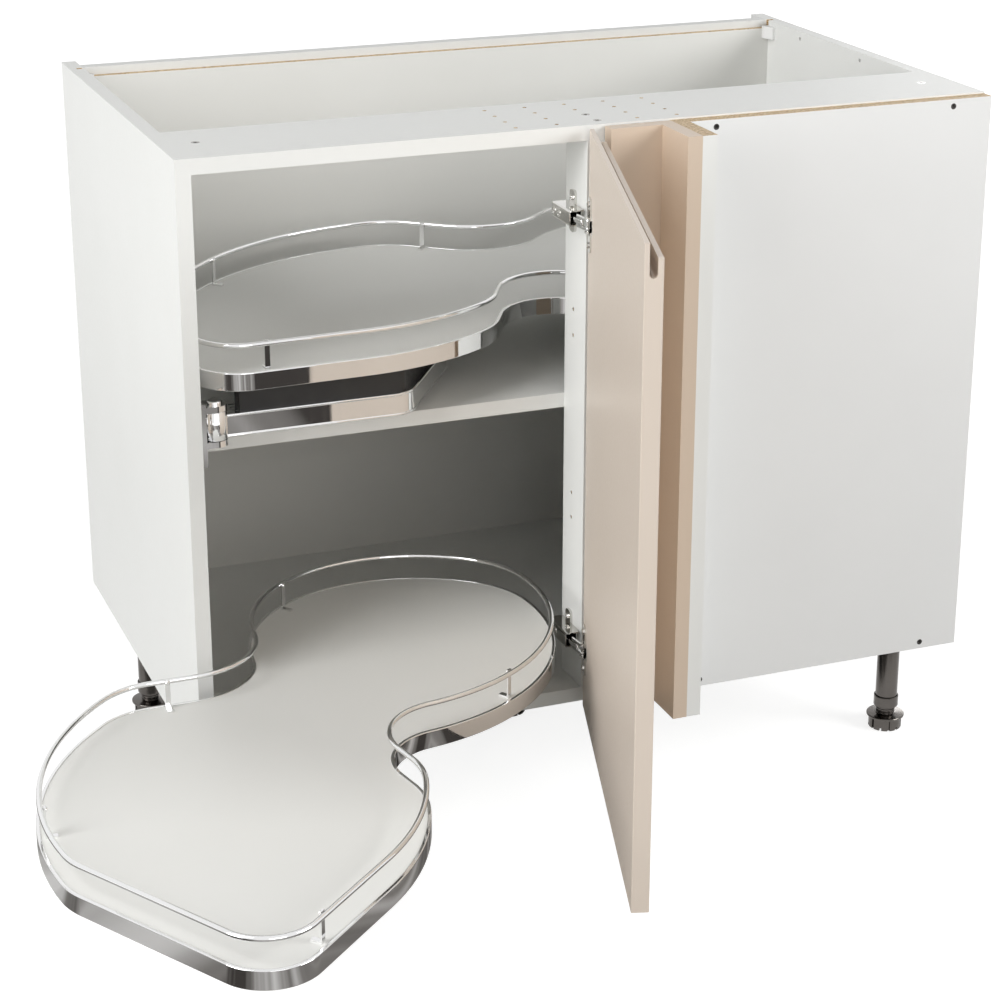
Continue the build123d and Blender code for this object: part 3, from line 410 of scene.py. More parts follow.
@dataclass
class FinishShelf:
    """Materials that are already made, by name."""

    made: dict[str, bpy.types.Material] = field(default_factory=dict)

    def take(self, finish: Finish) -> bpy.types.Material:
        """The material of a finish, made once.

        Args:
            finish: The finish.

        Returns:
            Its material.
        """
        if finish.name not in self.made:
            self.made[finish.name] = finish.build()
        return self.made[finish.name]

    def dress(self, thing: bpy.types.Object, finish: Finish) -> None:
        """Give an object one finish all over."""
        thing.data.materials.clear()
        thing.data.materials.append(self.take(finish))


# Surfaces


@dataclass
class Shell:
    """Faces of one piece, gathered from several grids of points."""

    points: list[np.ndarray] = field(default_factory=list)
    quads: list[np.ndarray] = field(default_factory=list)
    triangles: list[np.ndarray] = field(default_factory=list)
    count: int = 0

    def add(self, grid: np.ndarray, wrap_u: bool = True, wrap_v: bool = True, caps: bool = False) -> Shell:
        """Take in a surface P(u, v) given as a grid of points.

        Neighbouring points of the grid make one four-sided face. With caps, the first and
        last rows are closed by fans about their middle. The faces are turned so that the
        volume they enclose is positive.

        Args:
            grid: Points, shaped rows by columns by three.
            wrap_u: Whether the last row joins the first.
            wrap_v: Whether the last column joins the first.
            caps: Whether the first and last rows are closed.

        Returns:
            The shell itself.
        """
        rows, columns = grid.shape[:2]
        u = np.arange(rows if wrap_u else rows - 1)[:, None]
        v = np.arange(columns if wrap_v else columns - 1)[None, :]
        u2, v2 = (u + 1) % rows, (v + 1) % columns
        near_row, next_row = u * columns, u2 * columns
        quads = np.stack([near_row + v, next_row + v, next_row + v2, near_row + v2], -1).reshape(-1, 4)
        points = grid.reshape(-1, 3)
        triangles = np.zeros((0, 3), int)
        if caps:
            near, far = grid[0].mean(0), grid[-1].mean(0)
            ring = np.arange(columns)
            turned = (ring + 1) % columns
            last = (rows - 1) * columns
            first_fan = np.stack([ring, turned, np.full(columns, len(points))], -1)
            last_fan = np.stack([last + turned, last + ring, np.full(columns, len(points) + 1)], -1)
            points = np.vstack([points, near, far])
            triangles = np.vstack([first_fan, last_fan])
        corners = np.vstack([quads[:, [0, 1, 2]], quads[:, [0, 2, 3]], triangles])
        a, b, c = (points[corners[:, i]] - points.mean(0) for i in range(3))
        if np.einsum("ij,ij->i", a, np.cross(b, c)).sum() < 0:
            quads, triangles = quads[:, ::-1], triangles[:, ::-1]
        self.points.append(points)
        self.quads.append(quads + self.count)
        self.triangles.append(triangles + self.count)
        self.count += len(points)
        return self

    def build(self, name: str, material: bpy.types.Material, sharp: float = 35.0) -> bpy.types.Object:
        """Make the piece.

        Args:
            name: Name of the object and its mesh.
            material: Its only material.
            sharp: Angle in degrees from which an edge stays sharp.

        Returns:
            The new object, with its place in its mesh.
        """
        mesh = bpy.data.meshes.new(name)
        faces = np.vstack(self.quads).tolist() + np.vstack(self.triangles).tolist()
        mesh.from_pydata(np.vstack(self.points), [], faces)
        mesh.validate()
        mesh.shade_smooth()
        mesh.set_sharp_from_angle(angle=math.radians(sharp))
        mesh.materials.append(material)
        made = bpy.data.objects.new(name, mesh)
        bpy.context.scene.collection.objects.link(made)
        return made

    def stand_in(self, name: str, material: bpy.types.Material, sharp: float, node: str, slot: str,
                 body: str) -> None:
        """Make the piece and let it stand for a CAD node.

        Args:
            name: Name of the piece.
            material: Its only material.
            sharp: Angle in degrees from which an edge stays sharp.
            node: CAD node that it stands for.
            slot: Material slot in the record; not used.
            body: Body that it rides on.
        """
        made = self.build(name, material, sharp)
        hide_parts(node)
        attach(made, body)
        LOG.info("%s with %d faces", name, len(made.data.polygons))


def turned(points: np.ndarray, angle: float) -> np.ndarray:
    """Points turned about the upright axis: x' = x cos a - y sin a, y' = x sin a + y cos a.

    Args:
        points: Array of points whose last axis is x, y and z.
        angle: Turn in degrees.

    Returns:
        The turned points.
    """
    c, s = math.cos(math.radians(angle)), math.sin(math.radians(angle))
    x, y, z = points[..., 0], points[..., 1], points[..., 2]
    return np.stack([x * c - y * s, x * s + y * c, z], -1)


def placed(points: np.ndarray, x: float, y: float, z: float, angle: float = 0.0) -> np.ndarray:
    """Points in millimetres, turned and moved off the left front corner, as metres in the row frame."""
    return (turned(points, angle) + np.array([x, y, z])) / 1000 - ROW_ORIGIN


def rounded_loop(corners: list[tuple[float, float, float]], steps: int = 6) -> np.ndarray:
    """Closed line through corners, each rounded by an arc.

    A corner (a, b, r) with edge directions e1 (in) and e2 (out) and half turn h is replaced by
    points of the circle of radius r that touches both edges; the tangent points lie r tan(h)
    from the corner.

    Args:
        corners: Two coordinates and a radius each.
        steps: Points of each arc, less one.

    Returns:
        Points, two coordinates each.
    """
    given = np.array(corners, float)
    out = []
    for index, (a, b, r) in enumerate(given):
        here = np.array([a, b])
        before = given[index - 1][:2] - here
        after = given[(index + 1) % len(given)][:2] - here
        before, after = before / np.linalg.norm(before), after / np.linalg.norm(after)
        if r <= 0:
            out.append(here[None])
            continue
        half = math.acos(np.clip(before @ after, -1, 1)) / 2
        centre = here + (before + after) / np.linalg.norm(before + after) * r / math.sin(half)
        first, last = here + before * r / math.tan(half) - centre, here + after * r / math.tan(half) - centre
        t = np.linspace(0, 1, steps + 1)[:, None]
        turn = math.acos(np.clip(first @ last / (r * r), -1, 1))
        arc = (np.sin((1 - t) * turn) * first + np.sin(t * turn) * last) / math.sin(turn)
        out.append(centre + arc)
    return np.vstack(out)


def supported(loop: np.ndarray, margin: float = 0.3, closed: bool = True) -> np.ndarray:
    """Line with two more points on each side, a margin from its ends, so that flat faces shade flat.

    Args:
        loop: Points of the line.
        margin: Distance of the new points from the old, at most a third of the side.
        closed: Whether the last point joins the first.

    Returns:
        The line with its new points.
    """
    onward = np.roll(loop, -1, 0) - loop
    length = np.linalg.norm(onward, axis=1, keepdims=True)
    step = onward * np.minimum(margin / length, 1 / 3)
    made = np.stack([loop, loop + step, loop + onward - step], 1).reshape(-1, loop.shape[1])
    return made if closed else made[:-2]


def lathe(profile: np.ndarray, around: int = 48) -> np.ndarray:
    """Surface of turning: P(u, t) = (r(u) cos t, r(u) sin t, z(u)).

    Args:
        profile: Radius and height of each row.
        around: Columns.

    Returns:
        Grid of points.
    """
    t = np.linspace(0, 2 * np.pi, around, endpoint=False)
    r, z = profile[:, :1], profile[:, 1:]
    return np.stack([r * np.cos(t), r * np.sin(t), z + 0 * t], -1)


def along(path: np.ndarray, profile: np.ndarray) -> np.ndarray:
    """Profile carried along a level path: P(u, v) = (x + n sin h, y - n cos h, z).

    Args:
        path: Rows of x, y and heading h.
        profile: Rows of inset n and height z.

    Returns:
        Grid of points.
    """
    x, y, h = path[:, 0:1], path[:, 1:2], path[:, 2:3]
    n, z = profile[:, 0], profile[:, 1]
    return np.stack([x + n * np.sin(h), y - n * np.cos(h), z + 0 * h], -1)


@dataclass(frozen=True)
class Screw:
    """Screw with a lobed recess in its head."""

    radius: float
    rise: float
    cone: float
    shank: float
    length: float
    lobes: int
    reach: float
    depth: float

    def grid(self) -> np.ndarray:
        """Head and shank about +Z.

        Over radius s from 0 to 1 and angle t the head's height is rise (1 - s^6) - depth / (1 + e^g),
        where g = (s - reach (0.62 + 0.38 cos(lobes t))) / 0.045 marks the recess's edge.

        Returns:
            Grid of points, in millimetres.
        """
        t = np.linspace(0, 2 * np.pi, 48, endpoint=False)
        share = np.linspace(0.05, 1.0, 15)[:, None]
        edge = self.reach * (0.62 + 0.38 * np.cos(self.lobes * t))
        inside = 1 / (1 + np.exp(np.clip((share - edge) / 0.045, -40, 40)))
        height = self.rise * (1 - share ** 6) - self.depth * inside
        head = np.stack([self.radius * share * np.cos(t), self.radius * share * np.sin(t), height], -1)
        below = lathe(np.array([[self.shank, -self.cone], [self.shank, -self.length]]), 48)
        return np.concatenate([head, below])

    def facing_left(self) -> np.ndarray:
        """The same screw with its head looking along -X."""
        return self.grid()[..., [2, 0, 1]] * np.array([-1.0, 1.0, 1.0])

    def facing_front(self) -> np.ndarray:
        """The same screw with its head looking along -Y."""
        return self.grid()[..., [0, 2, 1]] * np.array([1.0, -1.0, 1.0])


# Trays


PATH_SPACING = 9.0  # greatest distance between places along a tray's edge, in millimetres
DEGREES_PER_STEP = 2.5


@dataclass(frozen=True)
class TrayOutline:
    """Tangent runs and arcs of a tray's edge, travelled clockwise from the right end of its front."""

    arcs: tuple[tuple[float, float | None], ...] = (
        (58.0, 100.5), (0.0, None), (92.0, 21.0), (365.0, 57.5), (89.0, 43.0), (50.0, None), (91.0, -86.5),
        (190.0, 76.0), (204.0, 52.0), (124.0, 40.0), (270.0, 91.0), (71.0, -94.5), (26.0, None),
        (112.0, 27.5))
    breast: float = 307.0
    start: tuple[float, float] = (-137.7, -150.3)

    @staticmethod
    def ahead(place: np.ndarray, size: float, turn: float | None, part: np.ndarray) -> np.ndarray:
        """Places along one run or arc.

        Args:
            place: Its start: x, y and heading.
            size: Length of a run or radius of an arc.
            turn: Clockwise turn in degrees, or None for a run.
            part: Shares of the run or arc.

        Returns:
            Rows of x, y and heading.
        """
        x, y, h = place
        if turn is None:
            return np.stack([x + size * part * math.cos(h), y + size * part * math.sin(h), h + 0 * part], -1)
        side = 1.0 if turn > 0 else -1.0
        cx, cy = x + side * size * math.sin(h), y - side * size * math.cos(h)
        then = h - math.radians(turn) * part
        return np.stack([cx - side * size * np.sin(then), cy + side * size * np.cos(then), then], -1)

    def steps(self) -> list[tuple[float, float | None]]:
        """All runs and arcs, with the two straight edges as long as the closing of the line asks.

        With l the heading of the left edge and p the end of the line without the two edges, the front
        run f and the left run g solve -f + g cos l = -p_x and g sin l = -p_y.

        Returns:
            Length and None for each run, radius and clockwise turn in degrees for each arc.
        """
        arcs = list(self.arcs)
        arcs.append((self.breast, 360.0 - sum(turn for _, turn in arcs if turn is not None)))
        whole = np.array([1.0])
        place = np.array([0.0, 0.0, math.pi])
        left = 0.0
        for size, turn in arcs:
            if turn is None and size == 0.0:
                left = place[2]
            place = self.ahead(place, size, turn, whole)[0]
        front_run, left_run = np.linalg.solve(
            np.array([[-1.0, math.cos(left)], [0.0, math.sin(left)]]), -place[:2])
        return [(front_run, None), arcs[0], (left_run, None)] + arcs[2:]

    def path(self, spacing: float) -> np.ndarray:
        """Places round the whole edge.

        Args:
            spacing: Greatest distance between neighbours, in millimetres.

        Returns:
            Rows of x, y and heading, about the tray's pivot.
        """
        place = np.array([*self.start, math.pi])
        rows = []
        for size, turn in self.steps():
            length = size if turn is None else size * math.radians(abs(turn))
            count = max(2, int(length / spacing))
            if turn is not None:
                count = max(count, int(abs(turn) / DEGREES_PER_STEP))
            rows.append(self.ahead(place, size, turn, np.linspace(0, 1, count, endpoint=False)))
            place = self.ahead(place, size, turn, np.array([1.0]))[0]
        return np.vstack(rows)


@dataclass(frozen=True)
class SwingArm:
    """Cranked chrome arm with beaded sides, about its pin, first leg along +X."""

    reach: float = 310.95
    offset: float = 145.82
    line: float = 14.0
    knee: float = 222.0
    bend: float = 20.0
    half: float = 19.0
    bottom: float = 10.3
    top: float = 38.0
    hub: float = 14.0
    hub_levels: tuple[float, float] = (10.0, 44.0)
    bore: float = 6.1

    def path(self) -> np.ndarray:
        """Middle line: a run, an arc round the knee, and a run past the tray's pivot.

        Returns:
            Rows of x, y, heading and share of the full width, which falls to nought as
            sqrt(1 - (d / half)^2) at distance d past the pivot.
        """
        turn = math.atan2(self.offset - self.line, self.reach - self.knee)
        tangent = self.bend * math.tan(turn / 2)
        first = np.linspace(0, self.knee - tangent, 24)
        angle = np.linspace(0, turn, 14)[1:]
        centre = (self.knee - tangent, self.line + self.bend)
        leg = math.hypot(self.reach - self.knee, self.offset - self.line)
        past = self.half * np.sin(np.linspace(0, np.pi / 2, 12)[1:]) * 0.998
        last = np.concatenate([np.linspace(tangent, leg, 14)[1:], leg + past])
        x = np.concatenate([first, centre[0] + self.bend * np.sin(angle), self.knee + last * math.cos(turn)])
        y = np.concatenate([0 * first + self.line, centre[1] - self.bend * np.cos(angle),
                            self.line + last * math.sin(turn)])
        heading = np.concatenate([0 * first, angle, 0 * last + turn])
        share = np.concatenate([np.ones(len(x) - len(past)), np.sqrt(1 - (past / self.half) ** 2)])
        return np.stack([x, y, heading, share], -1)

    def section(self) -> np.ndarray:
        """Closed section of the beam: flat sides between two beads, grooves along the top.

        Returns:
            Rows of inset and height: the right half, then its mirror image.
        """
        w, low, high = self.half, self.bottom, self.top
        right = np.array([
            (w - 2.2, low), (w - 0.6, low + 0.5), (w, low + 1.5), (w - 0.3, low + 2.6), (w - 1.1, low + 3.3),
            (w - 1.1, high - 3.4), (w - 0.3, high - 2.7), (w, high - 1.7), (w - 0.6, high - 0.5),
            (w - 1.7, high), (w - 3.0, high - 0.3), (w - 3.6, high - 1.0), (7.5, high - 1.0),
            (7.0, high - 1.6), (6.2, high - 1.6), (5.7, high - 1.0), (1.0, high - 1.0)])
        return supported(np.vstack([right, right[::-1] * np.array([-1.0, 1.0])]))

    def shell(self, x: float, y: float, z: float, swing: float) -> Shell:
        """Beam and hub at their place.

        The beam is P(u, v) = (x + s n sin h, y - s n cos h, z), with the path's x, y, heading h and
        share s at u and the section's inset n and height z at v. The hub is a turned sleeve.

        Args:
            x: Place of the pin from the left side, in millimetres.
            y: Place of the pin from the front.
            z: Top of the board that carries the arm.
            swing: Turn of the arm in degrees.

        Returns:
            Both surfaces.
        """
        path, section = self.path(), self.section()
        heading = path[:, 2:3]
        inset = section[:, 0] * path[:, 3:4]
        beam = np.stack([path[:, 0:1] + inset * np.sin(heading), path[:, 1:2] - inset * np.cos(heading),
                         section[:, 1] + 0 * inset], -1)
        low, high = self.hub_levels
        hub = lathe(np.array([[self.bore, low], [self.hub - 0.6, low], [self.hub, low + 0.6],
                              [self.hub, high - 0.6], [self.hub - 0.6, high], [self.bore, high]]))
        shell = Shell().add(placed(beam, x, y, z, swing), wrap_u=False, caps=True)
        return shell.add(placed(hub, x, y, z, swing))


@dataclass
class Tray:
    """One tray with its arm, bracket and pin."""

    name: str
    carried: float
    pivot: tuple[float, float]
    turn: float
    swing: float
    shelf: FinishShelf
    outline: TrayOutline = TrayOutline()
    top: float = 86.0
    trim_height: float = 21.0
    wall: float = 1.5
    lip: float = 4.0
    lip_thick: float = 0.95
    rail_level: float = 117.0
    rail_inset: float = 5.0
    rail_radius: float = 3.0
    pin: tuple[float, float] = (40.0, 28.0)

    def arm(self) -> None:
        """Swing arm on its pin."""
        shell = SwingArm().shell(*self.pin, self.carried, self.swing)
        shell.stand_in(f"{self.name}_beaded_arm", self.shelf.take(CHROME), 50.0,
                       f"{self.name}_swing_arm", "chrome", f"{self.name}_arm")

    def edging(self, name: str, profile: np.ndarray, sharp: float, node: str) -> None:
        """Chrome profile that runs round the tray's edge.

        Args:
            name: Last part of the piece's name.
            profile: Rows of inset and height.
            sharp: Angle in degrees from which an edge stays sharp.
            node: Last part of the name of the CAD node that it stands for.
        """
        grid = placed(along(self.outline.path(PATH_SPACING), profile), *self.pivot, self.carried, self.turn)
        Shell().add(grid).stand_in(f"{self.name}_{name}", self.shelf.take(CHROME), sharp,
                                   f"{self.name}_{node}", "chrome", f"{self.name}_tray")

    def trim(self) -> np.ndarray:
        """Section of the edge trim: a wall with a rolled top bead and a lip over the deck.

        Returns:
            Rows of inset and height.
        """
        bottom, under = self.top - self.trim_height, self.top - self.lip_thick
        return supported(rounded_loop([
            (0.0, bottom, 0.5), (0.0, self.top, 0.9), (self.lip, self.top, 0.45), (self.lip, under, 0.3),
            (self.wall, under, 0.0), (self.wall, bottom, 0.5)], 4))

    def rail(self) -> np.ndarray:
        """Section of the round gallery rail: (inset + r cos t, level + r sin t).

        Returns:
            Rows of inset and height.
        """
        t = np.linspace(0, 2 * np.pi, 20, endpoint=False)
        return np.stack([self.rail_inset + self.rail_radius * np.cos(t),
                         self.rail_level + self.rail_radius * np.sin(t)], -1)

    def build(self) -> None:
        """Make the new pieces and dress the rest."""
        nodes = bpy.data.objects
        self.edging("edge_trim", self.trim(), 50.0, "tray_trim")
        self.edging("gallery_rail", self.rail(), 80.0, "tray_rail")
        self.arm()
        for part in ("tray_rail_posts", "tray_post_screws", "pivot_bracket", "pivot_pin", "bracket_screws"):
            self.shelf.dress(nodes[f"{self.name}_{part}"], CHROME)
        for part in ("arm_cover", "tray_bearing"):
            self.shelf.dress(nodes[f"{self.name}_{part}"], DARK_COVER)
        self.shelf.dress(nodes[f"{self.name}_tray_stud"], STEEL)
        self.shelf.dress(nodes[f"{self.name}_tray_deck"], DECK)
        LOG.info("%s tray dressed", self.name)


# Boards, fronts and fittings


@dataclass
class Carcass:
    """Boards, connectors and clips of the fixed body."""

    shelf: FinishShelf
    band: float = 1.0
    rail_top: float = 870.0
    rail_depth: float = 138.0
    shelf_front: float = 62.0
    back_front: float = 534.0
    back_thick: float = 8.0
    clip_plan: tuple[tuple[float, float, float], ...] = (
        (0.0, 0.0, 0.0), (10.5, 0.0, 1.0), (10.5, -8.0, 1.5), (4.0, -21.0, 1.2), (0.0, -21.0, 0.0))
    clip_levels: tuple[float, float] = (846.5, 863.5)
    clip_ease: float = 1.0

    def groove_end(self, left: float, right: float) -> BareZone:
        """Bare walls of the back panel's groove, above the panel.

        Args:
            left: Left limit, in millimetres off the left front corner.
            right: Right limit.

        Returns:
            The zone, which keeps off the side's own faces.
        """
        return BareZone.between((left, self.back_front - 1, self.rail_top - 20),
                                (right, self.back_front + self.back_thick + 1, self.rail_top - 0.3))

    def clips(self) -> None:
        """Corner wedges of the back panel: P(u, v) is the plan's loop drawn in by the ease at both ends."""
        plan = supported(rounded_loop(list(self.clip_plan), 4))
        middle = plan.mean(0)
        low, high = self.clip_levels
        ease = self.clip_ease
        drawn = np.array([(ease, low), (0.3, low + 0.3), (0.0, low + ease), (0.0, low + 1.5),
                          (0.0, high - 1.5), (0.0, high - ease), (0.3, high - 0.3), (ease, high)])
        away = (plan - middle) / np.linalg.norm(plan - middle, axis=1, keepdims=True)
        rings = [np.column_stack([plan - inset * away, np.full(len(plan), level)]) for inset, level in drawn]
        shell = Shell()
        for side, mirror in ((18.0, 1.0), (982.0, -1.0)):
            grid = np.stack(rings) * np.array([mirror, 1.0, 1.0])
            shell.add(placed(grid, side, self.back_front, 0), wrap_u=False, caps=True)
        shell.stand_in("corner_wedges", self.shelf.take(WHITE_PLASTIC), 35.0,
                       "back_panel_clips", "white_plastic", "cabinet")

    def build(self) -> None:
        """Dress each board with its own bands, bores and bare edges; the rear rail and back panel are
        darkened with painted shade.
        """
        front_band = ((1, row(0, self.band, 0)[1]),)
        shelf_band = ((1, row(0, self.shelf_front + self.band, 0)[1]),)
        top, away = self.rail_top, self.rail_depth - 3
        bores = BareZone.between((None, 3, top - 30), (None, away, top + 10), Facing.SIDEWAYS)
        floors = BareZone.between((None, 3, top - 12.5), (None, away, top - 2))
        hinge_bores = BareZone.between((481, 25, None), (497, 50, None))
        sawn = BareZone.between((None, None, top - 10.4), (None, None, top))
        plans = {
            "left_side_panel": board("left_side_board", (self.groove_end(1, 17),), front_band),
            "right_side_panel": board("right_side_board", (self.groove_end(983, 999),), front_band),
            "base_panel": board("base_board", lines=front_band),
            "shelf_panel": board("shelf_board", lines=shelf_band),
            "centre_upright": board("upright_board", (hinge_bores,), front_band),
            "front_top_rail": board("front_rail_board", (bores, floors), front_band),
            # Rear rail: white board darkened with painted shade.
            "rear_top_rail": Finish("rear_rail_board_shaded", Coat.BOARD, *SHADED_RAIL_TONES, 0.5),
            # Back panel: white board darkened with painted shade, its sawn top bare.
            "back_panel": Finish("back_board", Coat.BOARD, *SHADED_BACK_TONES, 0.5, zones=(sawn,)),
        }
        for node, finish in plans.items():
            self.shelf.dress(bpy.data.objects[node], finish)
            LOG.info("%s dressed", node)
        self.shelf.dress(bpy.data.objects["top_rail_fittings"], ZINC)
        self.clips()


@dataclass
class FixedFront:
    """Blind panel, corner post and its boards."""

    shelf: FinishShelf
    top: float = 868.0
    face: float = -16.0
    screw_columns: tuple[float, float] = (634.0, 948.0)
    screw_rows: tuple[float, float] = (159.0, 859.0)
    screw: Screw = Screw(3.6, 0.0, 2.5, 1.9, 16.0, 6, 0.62, 1.3)

    def screws(self) -> None:
        """Countersunk screws near the corners of the blind panel, with star recesses."""
        shell = Shell()
        for x in self.screw_columns:
            for z in self.screw_rows:
                shell.add(placed(self.screw.facing_front(), x, self.face, z), wrap_u=False, caps=True)
        shell.stand_in("blind_panel_star_screws", self.shelf.take(BLACK_SCREW), 50.0, "blind_panel_screws",
                       "dark_screw", "cabinet")

    def build(self) -> None:
        """Dress the fixed boards, whose tops are sawn bare; the post and filler take lacquer darkened with
        painted shade.
        """
        sawn = BareZone.between((None, None, self.top - 0.3), (None, None, self.top + 1))
        self.shelf.dress(bpy.data.objects["blind_panel"], Finish(
            "blind_board", Coat.BOARD, *BLIND_TONES, 0.5, zones=(sawn,)))
        self.shelf.dress(bpy.data.objects["corner_return_board"], board("return_board", (sawn,)))
        # Filler and post: cashmere lacquer darkened and browned with painted shade.
        self.shelf.dress(bpy.data.objects["corner_filler_board"], satin("filler_lacquer_painted_shade", SHADED_CASHMERE))
        self.shelf.dress(bpy.data.objects["corner_post_board"], satin("post_lacquer_painted_shade", SHADED_CASHMERE))
        self.screws()
        LOG.info("fixed front dressed")


@dataclass
class DoorSet:
    """Door leaf and its two concealed hinges."""

    shelf: FinishShelf
    heights: tuple[float, float] = (233.0, 762.0)
    face: float = 459.0
    plate: float = 477.0
    front: float = 2.0
    back: float = 60.0
    half: float = 9.0
    wall: float = 1.4
    corner: float = 2.4
    taper_from: float = 52.0
    taper_drop: float = 0.14
    taper_shift: float = 2.2
    closing: tuple[float, float] = (57.6, 58.8)
    closing_half: float = 6.4
    closing_inset: float = 3.4
    adjusters: tuple[float, float] = (34.0, 48.0)
    plate_screw_y: float = 37.0
    plate_screw_pitch: float = 32.0
    arm_pin: tuple[float, float] = (464.0, 6.0)
    cup_pin: tuple[float, float] = (468.17, -30.0)
    link_length: float = 23.0
    link_ease: float = 0.7
    eye: float = 3.0
    bar: float = 2.0
    fork: float = 7.5
    inner_layers: tuple[tuple[float, float], ...] = ((-3.0, 3.0),)
    outer_layers: tuple[tuple[float, float], ...] = ((-7.0, -3.4), (3.4, 7.0))
    adjuster: Screw = Screw(3.5, 0.8, 0.1, 3.4, 10.4, 4, 0.80, 1.2)
    pan_screw: Screw = Screw(3.6, 2.4, 0.1, 1.9, 12.0, 4, 0.70, 1.4)

    def channel(self) -> np.ndarray:
        """Boxed arm, open towards its plate.

        The section is a U with rounded corners. P(v, k) goes along the U with v and round the wall,
        front to back outside and back to front inside, with k. With q rising from 0 to 1 over the
        taper, the height is multiplied by 1 - taper_drop q^2 and the face moves in by taper_shift q^2.

        Returns:
            Grid of points about the hinge's height.
        """
        a = np.linspace(0, np.pi / 2, 7)
        r, high = self.corner, self.half
        outer = np.vstack([
            [(self.plate, -high)], np.stack([self.face + r - r * np.sin(a), -high + r - r * np.cos(a)], -1),
            np.stack([self.face + r - r * np.cos(a), high - r + r * np.sin(a)], -1), [(self.plate, high)]])
        inward = np.vstack([[(0.0, 1.0)], np.stack([np.sin(a), np.cos(a)], -1),
                            np.stack([np.cos(a), -np.sin(a)], -1), [(0.0, -1.0)]])
        inner = outer + self.wall * inward
        outer, inner = supported(outer, closed=False), supported(inner, closed=False)
        stations = np.array([
            self.front, self.front + 0.4, 20.0, self.taper_from, 54.0, 56.0, 58.0, 59.2, self.back])
        y = np.concatenate([stations, stations[::-1]])
        wall = np.concatenate([np.repeat(outer[:, None], len(stations), 1),
                               np.repeat(inner[:, None], len(stations), 1)], 1)
        share = np.clip((y - self.taper_from) / (self.back - self.taper_from), 0, 1) ** 2
        x = np.minimum(wall[..., 0] + self.taper_shift * share, self.plate)
        return np.stack([x, y + 0 * x, wall[..., 1] * (1 - self.taper_drop * share)], -1)

    def seat(self) -> np.ndarray:
        """Raised ring round an adjusting screw, looking along -X."""
        ring = lathe(np.array([[3.7, -1.0], [3.7, 0.4], [4.2, 0.65], [4.9, 0.4], [5.2, -0.2]]), 40)
        return ring[..., [2, 0, 1]] * np.array([-1.0, 1.0, 1.0])

    def arms(self) -> None:
        """Boxed arms with their seats, closed at the back."""
        high, inner = self.closing_half, self.face + self.closing_inset
        end = rounded_loop([
            (inner, -high, 1.5), (self.plate, -high, 0.0), (self.plate, high, 0.0), (inner, high, 1.5)])
        closing = np.stack([np.stack([end[:, 0], 0 * end[:, 0] + y, end[:, 1]], -1) for y in self.closing])
        shell = Shell()
        for z in self.heights:
            shell.add(placed(self.channel(), 0, 0, z), wrap_u=False, caps=True)
            shell.add(placed(closing, 0, 0, z), wrap_u=False, caps=True)
            for y in self.adjusters:
                shell.add(placed(self.seat(), self.face, y, z))
        shell.stand_in("hinge_boxed_arms", self.shelf.take(NICKEL), 40.0, "hinge_arms", "nickel", "cabinet")

    def screws(self, name: str, node: str, screw: Screw, x: float,
               places: list[tuple[float, float]]) -> None:
        """Screws that look along -X.

        Args:
            name: Name of the new piece.
            node: CAD node that it stands for.
            screw: Their kind.
            x: Place of their seats from the left side, in millimetres.
            places: Depth and height of each.
        """
        shell = Shell()
        for y, z in places:
            shell.add(placed(screw.facing_left(), x, y, z), wrap_u=False, caps=True)
        shell.stand_in(name, self.shelf.take(NICKEL), 50.0, node, "nickel", "cabinet")

    def link(self, low: float, high: float) -> np.ndarray:
        """Link from its eye along +X, with round ends and eased edges, bulging over its height.

        The half width at distance s is the greater of sqrt(eye^2 - s^2) and the bar's, which ends as
        sqrt(bar^2 - (s - length)^2). At level z it is sqrt(1 - 0.6 (z / fork)^2) times that.

        Args:
            low: Lowest level.
            high: Highest level.

        Returns:
            Grid of points about the link's pin.
        """
        length, ease = self.link_length, self.link_ease
        s = np.concatenate([-self.eye * np.cos(np.linspace(0.05, np.pi / 2, 9)), np.linspace(0.4, length, 14),
                            length + self.bar * np.sin(np.linspace(0.2, 1.52, 7))])
        eye = np.sqrt(np.clip(self.eye ** 2 - s ** 2, 0.0, None))
        end = np.sqrt(np.clip(self.bar ** 2 - np.clip(s - length, 0, None) ** 2, 0.01, None))
        width = np.maximum(np.maximum(eye, np.where(s < 0, 0.0, end)), 0.1)[:, None]
        across = np.array([-1, -1, -0.86, 0.86, 1, 1, 0.86, -0.86])
        up = np.array([high - ease, low + ease, low, low, low + ease, high - ease, high, high])
        bulge = np.sqrt(1 - 0.6 * (up / self.fork) ** 2)
        flat = 0 * width * across
        return np.stack([s[:, None] + flat, width * across * bulge, up + flat], -1)

    def links(self, name: str, node: str, pin: tuple[float, float], other: tuple[float, float],
              layers: tuple[tuple[float, float], ...]) -> None:
        """Links of both hinges that turn on one kind of pin.

        Args:
            name: Name of the new piece.
            node: CAD node that it stands for, and body of the same name.
            pin: Place of the links' own pin.
            other: Pin that they point at.
            layers: Lowest and highest level of each link, about the hinge's height.
        """
        heading = math.degrees(math.atan2(other[1] - pin[1], other[0] - pin[0]))
        shell = Shell()
        for z in self.heights:
            for low, high in layers:
                shell.add(placed(self.link(low, high), *pin, z, heading), wrap_u=False, caps=True)
        shell.stand_in(name, self.shelf.take(CHROME), 50.0, node, "nickel", node)

